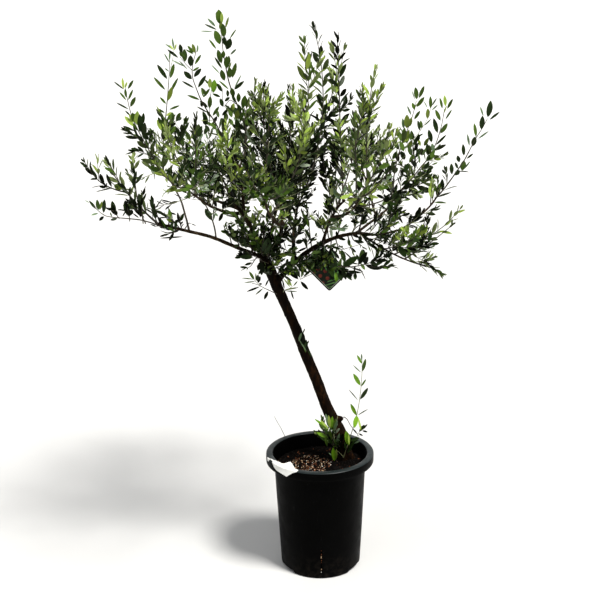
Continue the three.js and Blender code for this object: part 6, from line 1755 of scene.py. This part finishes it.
def soil():
    edge = (WALL_FOOT_RADIUS + 12 * (SOIL_TOP - 35) / 237 - WALL - 0.3) * MM
    rings, n = 46, 150
    verts, faces = [(0, 0, SOIL_TOP * MM + ground_height(0, 0))], []
    for i in range(1, rings + 1):
        r = edge * i / rings
        for j in range(n):
            a = 2 * math.pi * j / n
            x, y = r * math.cos(a), r * math.sin(a)
            verts.append((x, y, SOIL_TOP * MM + ground_height(x, y)))
    at = lambda i, j: 1 + (i - 1) * n + j % n
    faces += [(0, at(1, j), at(1, j + 1)) for j in range(n)]
    for i in range(1, rings):
        faces += [(at(i, j), at(i + 1, j), at(i + 1, j + 1), at(i, j + 1)) for j in range(n)]
    low = len(verts)
    foot = [((98) * MM * math.cos(2 * math.pi * j / n), 98 * MM * math.sin(2 * math.pi * j / n), 0.0145) for j in range(n)]
    verts += foot + [(0, 0, 0.0145)]
    faces += [(at(rings, j), low + j, low + (j + 1) % n, at(rings, j + 1)) for j in range(n)]
    faces += [(low + j, low + n, low + (j + 1) % n) for j in range(n)]
    place(mesh_object("soil_mix", verts, faces, [soil_material()]), "soil", "soil")

    rng = np.random.default_rng(88)
    batch = Batch()
    box = np.array([(x, y, z) for x in (-1, 1) for y in (-1, 1) for z in (-1, 1)], float)
    quads = [(0, 1, 3, 2), (4, 6, 7, 5), (0, 4, 5, 1), (2, 3, 7, 6), (0, 2, 6, 4), (1, 5, 7, 3)]
    for k in range(2600):
        r, a = edge * math.sqrt(rng.random()) * 0.985, rng.uniform(0, 2 * math.pi)
        x, y = r * math.cos(a), r * math.sin(a)
        if (x - 0.067) ** 2 + (y - 0.038) ** 2 < 0.021 ** 2:
            continue
        kind = rng.random()
        if kind < 0.2:                                   # bark flakes
            size = np.array([rng.uniform(3.0, 6.5), rng.uniform(1.4, 2.8), rng.uniform(0.5, 1.1)])
        elif kind < 0.32:                                # fibres
            size = np.array([rng.uniform(4, 9), rng.uniform(0.35, 0.7), rng.uniform(0.3, 0.6)])
        else:                                            # crumbs
            size = rng.uniform(0.7, 2.3) * rng.uniform(0.6, 1.3, 3)
        sunny = ((x + 0.022) / 0.050) ** 2 + ((y - 0.004) / 0.050) ** 2 < 1     # painted pool of light: pale chips here, mostly dark ones elsewhere as painted shade
        pale = rng.random() if sunny else rng.random() * 0.56
        mat = 0 if pale < 0.42 else 1 if pale < 0.74 else 2 if pale < 0.92 else 3
        if mat == 3:
            size = np.minimum(size, 2.0)
        e = Matrix.Rotation(rng.uniform(0, 2 * math.pi), 3, "Z") @ Matrix.Rotation(rng.normal(0, 0.35), 3, "X") @ Matrix.Rotation(rng.normal(0, 0.3), 3, "Y")
        # painted shade: outside the lit patch most brown chips are made dark
        mat = 0 if mat == 1 and not sunny and rng.random() < 0.75 else mat
        pts = box * size * MM * 0.5 * rng.uniform(0.72, 1.18, (8, 3))
        pts = pts @ np.array(e).T + (x, y, SOIL_TOP * MM + ground_height(x, y) + size[2] * MM * 0.35)
        batch.add([tuple(q) for q in pts], quads, mat)
    for z, wide, tall, mat in ((17.6, 2.0, 2.6, 3), (26, 1.8, 3.0, 2), (45, 1.6, 2.4, 1), (51, 1.4, 4.0, 1), (60, 1.8, 6.0, 2), (68, 1.4, 3.4, 1), (78, 1.2, 2.2, 1)):
        pts = box * (wide, 2.4, tall) * MM * 0.5 * rng.uniform(0.7, 1.1, (8, 3))       # crumbs of the mix in the front slit; their pale colours are partly painted glints
        batch.add([tuple(q) for q in pts + (rng.normal(0, 0.0002), -(WALL_FOOT_RADIUS - 2.4 + (z - 35) * 0.05) * MM, z * MM)], quads, mat)
    ob = batch.make("soil_chips", [
        chip_material("chip_dark", srgb(4, 3, 2), srgb(16, 11, 8)), chip_material("chip_brown", srgb(70, 38, 22), srgb(128, 76, 48)),
        chip_material("chip_tan", srgb(150, 120, 90), srgb(196, 168, 136)), chip_material("chip_pale", srgb(214, 208, 196), srgb(240, 236, 226))], False)
    place(ob, "soil")

    stalk = np.array([(-78, 84, 262), (-86, 98, 290), (-99, 101, 322), (-108, 101, 340), (-116, 100, 355)], float) * MM
    t = np.linspace(0, 1, 24)
    line = np.stack([np.interp(t, np.linspace(0, 1, 5), stalk[:, k]) for k in range(3)], 1)
    line = line + np.outer(np.sin(t * 6.3), (0.0006, 0.0004, 0))
    dry = mesh_object("dry_stalk", *tube(line, np.interp(t, [0, 1], [0.0010, 0.0005]), 6),
                      [twig_material("dry_straw", srgb(56, 60, 58), srgb(110, 116, 110), 0.8)])
    place(dry, "bark")


# ---- bare tag lying over the rim -------------------------------------------------------------------
def tag():
    deg = [195, 197.5, 201, 203, 207, 211, 214, 219, 221, 226.7, 233.7, 240, 244.8]
    hang = [2.5, 6.5, 5.5, -2.5, -4.0, 3.0, 8.0, 12.0, 12.6, 14.0, 17.0, 5.6, 0.3]  # how far it hangs down outside
    inward = [0.0, 1.5, 4.0, 6.5, 9.5, 13.0, 14.0, 15.0, 17.0, 31.0, 23.5, 13.5, 9.0]  # how far it lies in over the mouth
    nu, nv, verts = 100, 40, []
    for i in range(nu):
        a = deg[0] + (deg[-1] - deg[0]) * i / (nu - 1)
        h, w = np.interp(a, deg, hang), np.interp(a, deg, inward)
        for j in range(nv):
            s = -h + (w + h) * j / (nv - 1)
            crease = 0.9 * math.exp(-((a - 222 - s * 0.3) / 1.6) ** 2) + 0.5 * math.exp(-((a - 234 + s * 0.2) / 1.3) ** 2)
            rumple = max(0.0, min(1.0, (228 - a) / 6)) * max(0.0, min(1.0, (s + 1) / 4))      # the crumpled end
            crease += rumple * (1.5 * math.sin(s * 1.35 + a * 0.5) ** 2 + 0.8 * math.sin(a * 1.9 - s * 0.5) ** 2)
            if s < 0:
                r, z = RIM_RADIUS + 0.7 + 0.10 * -s + 0.010 * s * s, POT_HEIGHT + 0.4 + s
            elif s < 16.5:
                r, z = RIM_RADIUS + 0.7 - s, POT_HEIGHT + 0.5
            else:
                r, z = RIM_RADIUS + 0.7 - 16.5 - (s - 16.5) * 0.86, POT_HEIGHT + 0.5 + (s - 16.5) * 0.42
            bend = min(1.0, abs(s) / 2.5) if s < 2 else 1.0
            z += crease * bend * 0.8 + 0.35 * math.sin(a * 0.9 + s * 0.25) * (1 if s > 0 else 0.2) + 0.35
            r += crease * (0.5 if s < 0 else 0)
            t = math.radians(a)
            verts.append((r * math.cos(t) * MM, r * math.sin(t) * MM, z * MM))
    faces = [(i * nv + j, (i + 1) * nv + j, (i + 1) * nv + j + 1, i * nv + j + 1) for i in range(nu - 1) for j in range(nv - 1)]
    ob = mesh_object("rim_tag_sheet", verts, faces, [tag_material()])
    thick = ob.modifiers.new("thick", "SOLIDIFY")
    thick.thickness, thick.offset = 0.00045, 0.0
    return place(ob, "tag_paper", "rim_tag")


# ---- card hanging in the crown, with a plain generic pattern ----------------------------------------
CARD_CENTRE, CARD_WIDE, CARD_TALL, CARD_TILT, CARD_LEAN = (15, -50, 784), 65.0, 95.0, 43.8, 5.0


def card_point(u, v, w=0.0):
    """A place on the card, in millimetres from its middle, as a point in the frame."""
    a, b = math.radians(CARD_TILT), math.radians(90 - CARD_LEAN)
    x, y = u * math.cos(a) - v * math.sin(a), u * math.sin(a) + v * math.cos(a)
    return (np.array(CARD_CENTRE) + (x, y * math.cos(b) - w * math.sin(b), y * math.sin(b) + w * math.cos(b))) * MM


def card_pattern(u, v):
    """0 edge, 1 thin pale line, 2 ground, 3 red-brown spots, 4 light green bars, 5 deep green band."""
    x, y = CARD_WIDE / 2 - abs(u), CARD_TALL / 2 - abs(v)
    rim = min(x, y)
    if rim < 2.6:
        return 0
    if rim < 3.7:
        return 1
    if -30 < v < 34 and abs((v + 30) % 16 - 8) < 4.4 and abs((u + 22 + 8 * (int((v + 30) // 16) % 2)) % 16 - 8) < 4.4:
        if math.hypot((v + 30) % 16 - 8, (u + 22 + 8 * (int((v + 30) // 16) % 2)) % 16 - 8) < 4.4 and u < -3:
            return 3
    if v < -27 and (u * 0.45 + v * 0.9) % 7 < 2.6:
        return 4
    if u > -3 and (u * 0.8 - v * 0.6) % 9 < 2.8:
        return 4
    return 5 if abs(v) > 38 else 2


def card():
    nu, nv = 66, 96
    us, vs = np.linspace(-CARD_WIDE / 2, CARD_WIDE / 2, nu), np.linspace(-CARD_TALL / 2, CARD_TALL / 2, nv)
    corner = 5.0
    verts, faces, mats = [], [], []
    for side in (0, 1):
        for u in us:
            for v in vs:
                x, y = u, v
                ex, ey = CARD_WIDE / 2 - corner, CARD_TALL / 2 - corner
                if abs(u) > ex and abs(v) > ey:            # round the corners
                    dx, dy = abs(u) - ex, abs(v) - ey
                    m = max(dx, dy)
                    k = m / max(math.hypot(dx, dy), 1e-9)
                    x, y = math.copysign(ex + dx * k, u), math.copysign(ey + dy * k, v)
                bend = 1.3 * math.sin(y / CARD_TALL * 2.4 + 0.4) + 0.8 * math.cos(x / CARD_WIDE * 2.0)
                verts.append(card_point(x, y, bend + (0.35 if side == 0 else -0.35)))
    at = lambda s, i, j: s * nu * nv + i * nv + j
    for i in range(nu - 1):
        for j in range(nv - 1):
            u, v = (us[i] + us[i + 1]) / 2, (vs[j] + vs[j + 1]) / 2
            if math.hypot(u - CARD_WIDE / 2 + 8, v - CARD_TALL / 2 + 8) < 2.4:
                continue
            kind = card_pattern(u, v)
            faces += [(at(0, i, j), at(0, i + 1, j), at(0, i + 1, j + 1), at(0, i, j + 1)),
                      (at(1, i, j), at(1, i, j + 1), at(1, i + 1, j + 1), at(1, i + 1, j))]
            mats += [kind, 0 if kind == 0 else 6]
    done = {}
    for f in faces:                                       # close the edge of the card and of its hole
        for a, b in zip(f, f[1:] + f[:1]):
            done[(a, b)] = done.get((a, b), 0) + 1
    half = nu * nv
    for (a, b) in [e for e in done if (e[1], e[0]) not in done and e[0] < half and e[1] < half]:
        faces.append((b, a, a + half, b + half))
        mats.append(0)
    ob = mesh_object("hanging_card", verts, faces, [
        card_material("card_edge", srgb(8, 11, 8), srgb(16, 20, 14)), card_material("card_line", srgb(150, 156, 140), srgb(178, 182, 168)),
        card_material("card_ground", srgb(12, 20, 12), srgb(24, 34, 20)), card_material("card_spot", srgb(92, 36, 28), srgb(122, 54, 40)),
        card_material("card_bar", srgb(66, 106, 54), srgb(100, 142, 80)), card_material("card_band", srgb(10, 18, 11), srgb(20, 30, 18)),
        card_material("card_back", srgb(170, 172, 164), srgb(196, 198, 190))], mats, True, 35)
    place(ob, "card", "picture_card")

    hole = card_point(CARD_WIDE / 2 - 8, CARD_TALL / 2 - 8, 0.8)
    bough = curve("right")[0]
    t = min(np.linspace(0.3, 0.9, 61), key=lambda q: np.linalg.norm(bough(q) - hole))
    over = bough(t)
    loop = [hole + (0, -0.002, -0.003), hole + (0, -0.004, 0.006), over + (0, -0.010, 0.006), over + (0, -0.001, 0.0085),
            over + (0, 0.0085, 0.002), over + (0, 0.004, -0.0085), (hole + over) / 2 + (0, 0, -0.008), hole + (0, 0.003, -0.001),
            hole + (0, -0.002, -0.003)]
    loop = np.array(loop)
    fine = []
    for k in range(len(loop) - 1):                        # rounded by a cubic through its points
        a, b = loop[k - 1] if k else loop[-2], loop[k]
        c, d = loop[k + 1], loop[k + 2] if k + 2 < len(loop) else loop[1]
        for w in np.linspace(0, 1, 9)[:-1]:
            fine.append(0.5 * (2 * b + (c - a) * w + (2 * a - 5 * b + 4 * c - d) * w * w + (3 * b - a - 3 * c + d) * w ** 3))
    tie = mesh_object("card_tie", *tube(np.array(fine + [loop[-1]]), np.full(len(fine) + 1, 0.0006), 8), [chip_material("tie", srgb(24, 24, 22), srgb(48, 46, 42))])
    place(tie, "card")


# ---- floor and light -------------------------------------------------------------------------------
def studio():
    """A pale floor that sweeps up into a backdrop, under soft light from above and the right."""
    wide, profile = 14.0, [(-9.0, 0.0), (-4.0, 0.0), (0.0, 0.0), (4.0, 0.0), (6.0, 0.0)]
    profile += [(6.0 + 4.0 * math.sin(a), 4.0 - 4.0 * math.cos(a)) for a in np.linspace(0, math.pi / 2, 25)[1:]] + [(10.0, 9.0)]
    verts = [(x, y, z - 0.0005) for y, z in profile for x in np.linspace(-wide, wide, 15)]
    faces = [(i * 15 + j, i * 15 + j + 1, i * 15 + j + 16, i * 15 + j + 15) for i in range(len(profile) - 1) for j in range(14)]
    floor = mesh_object("floor", verts, faces, [floor_material()], None, True)
    world = bpy.data.worlds.new("studio")
    world.use_nodes = True
    nt = world.node_tree
    back = nt.nodes["Background"]
    back.inputs[0].default_value, back.inputs[1].default_value = (0.95, 0.97, 1.0, 1), 0.24
    plain = nt.nodes.new("ShaderNodeBackground")            # what shows past the floor's edge: the same white
    plain.inputs[0].default_value, plain.inputs[1].default_value = (1.0, 1.0, 1.0, 1), 1.05
    seen, mix = nt.nodes.new("ShaderNodeLightPath"), nt.nodes.new("ShaderNodeMixShader")
    nt.links.new(seen.outputs["Is Camera Ray"], mix.inputs[0])
    nt.links.new(back.outputs[0], mix.inputs[1])
    nt.links.new(plain.outputs[0], mix.inputs[2])
    nt.links.new(mix.outputs[0], nt.nodes["World Output"].inputs[0])
    bpy.context.scene.world = world
    for name, toward, strength, angle, tint in (
            ("key", (0.42, -0.36, 0.84), 5.05, 16.0, (1.0, 0.98, 0.94)),
            ("top", (-0.30, -0.35, 0.88), 0.7, 50.0, (0.97, 0.985, 1.0))):
        lamp = bpy.data.lights.new(name, "SUN")
        lamp.energy, lamp.angle, lamp.color = strength, math.radians(angle), tint
        ob = bpy.data.objects.new(name, lamp)
        ob.location = Vector(toward) * 4
        ob.rotation_euler = (-Vector(toward)).to_track_quat("-Z", "Y").to_euler()
        bpy.context.scene.collection.objects.link(ob)
    bpy.context.scene.view_settings.view_transform = "Standard"


studio()
pot()
soil()
tag()
card()
wood()
foliage()
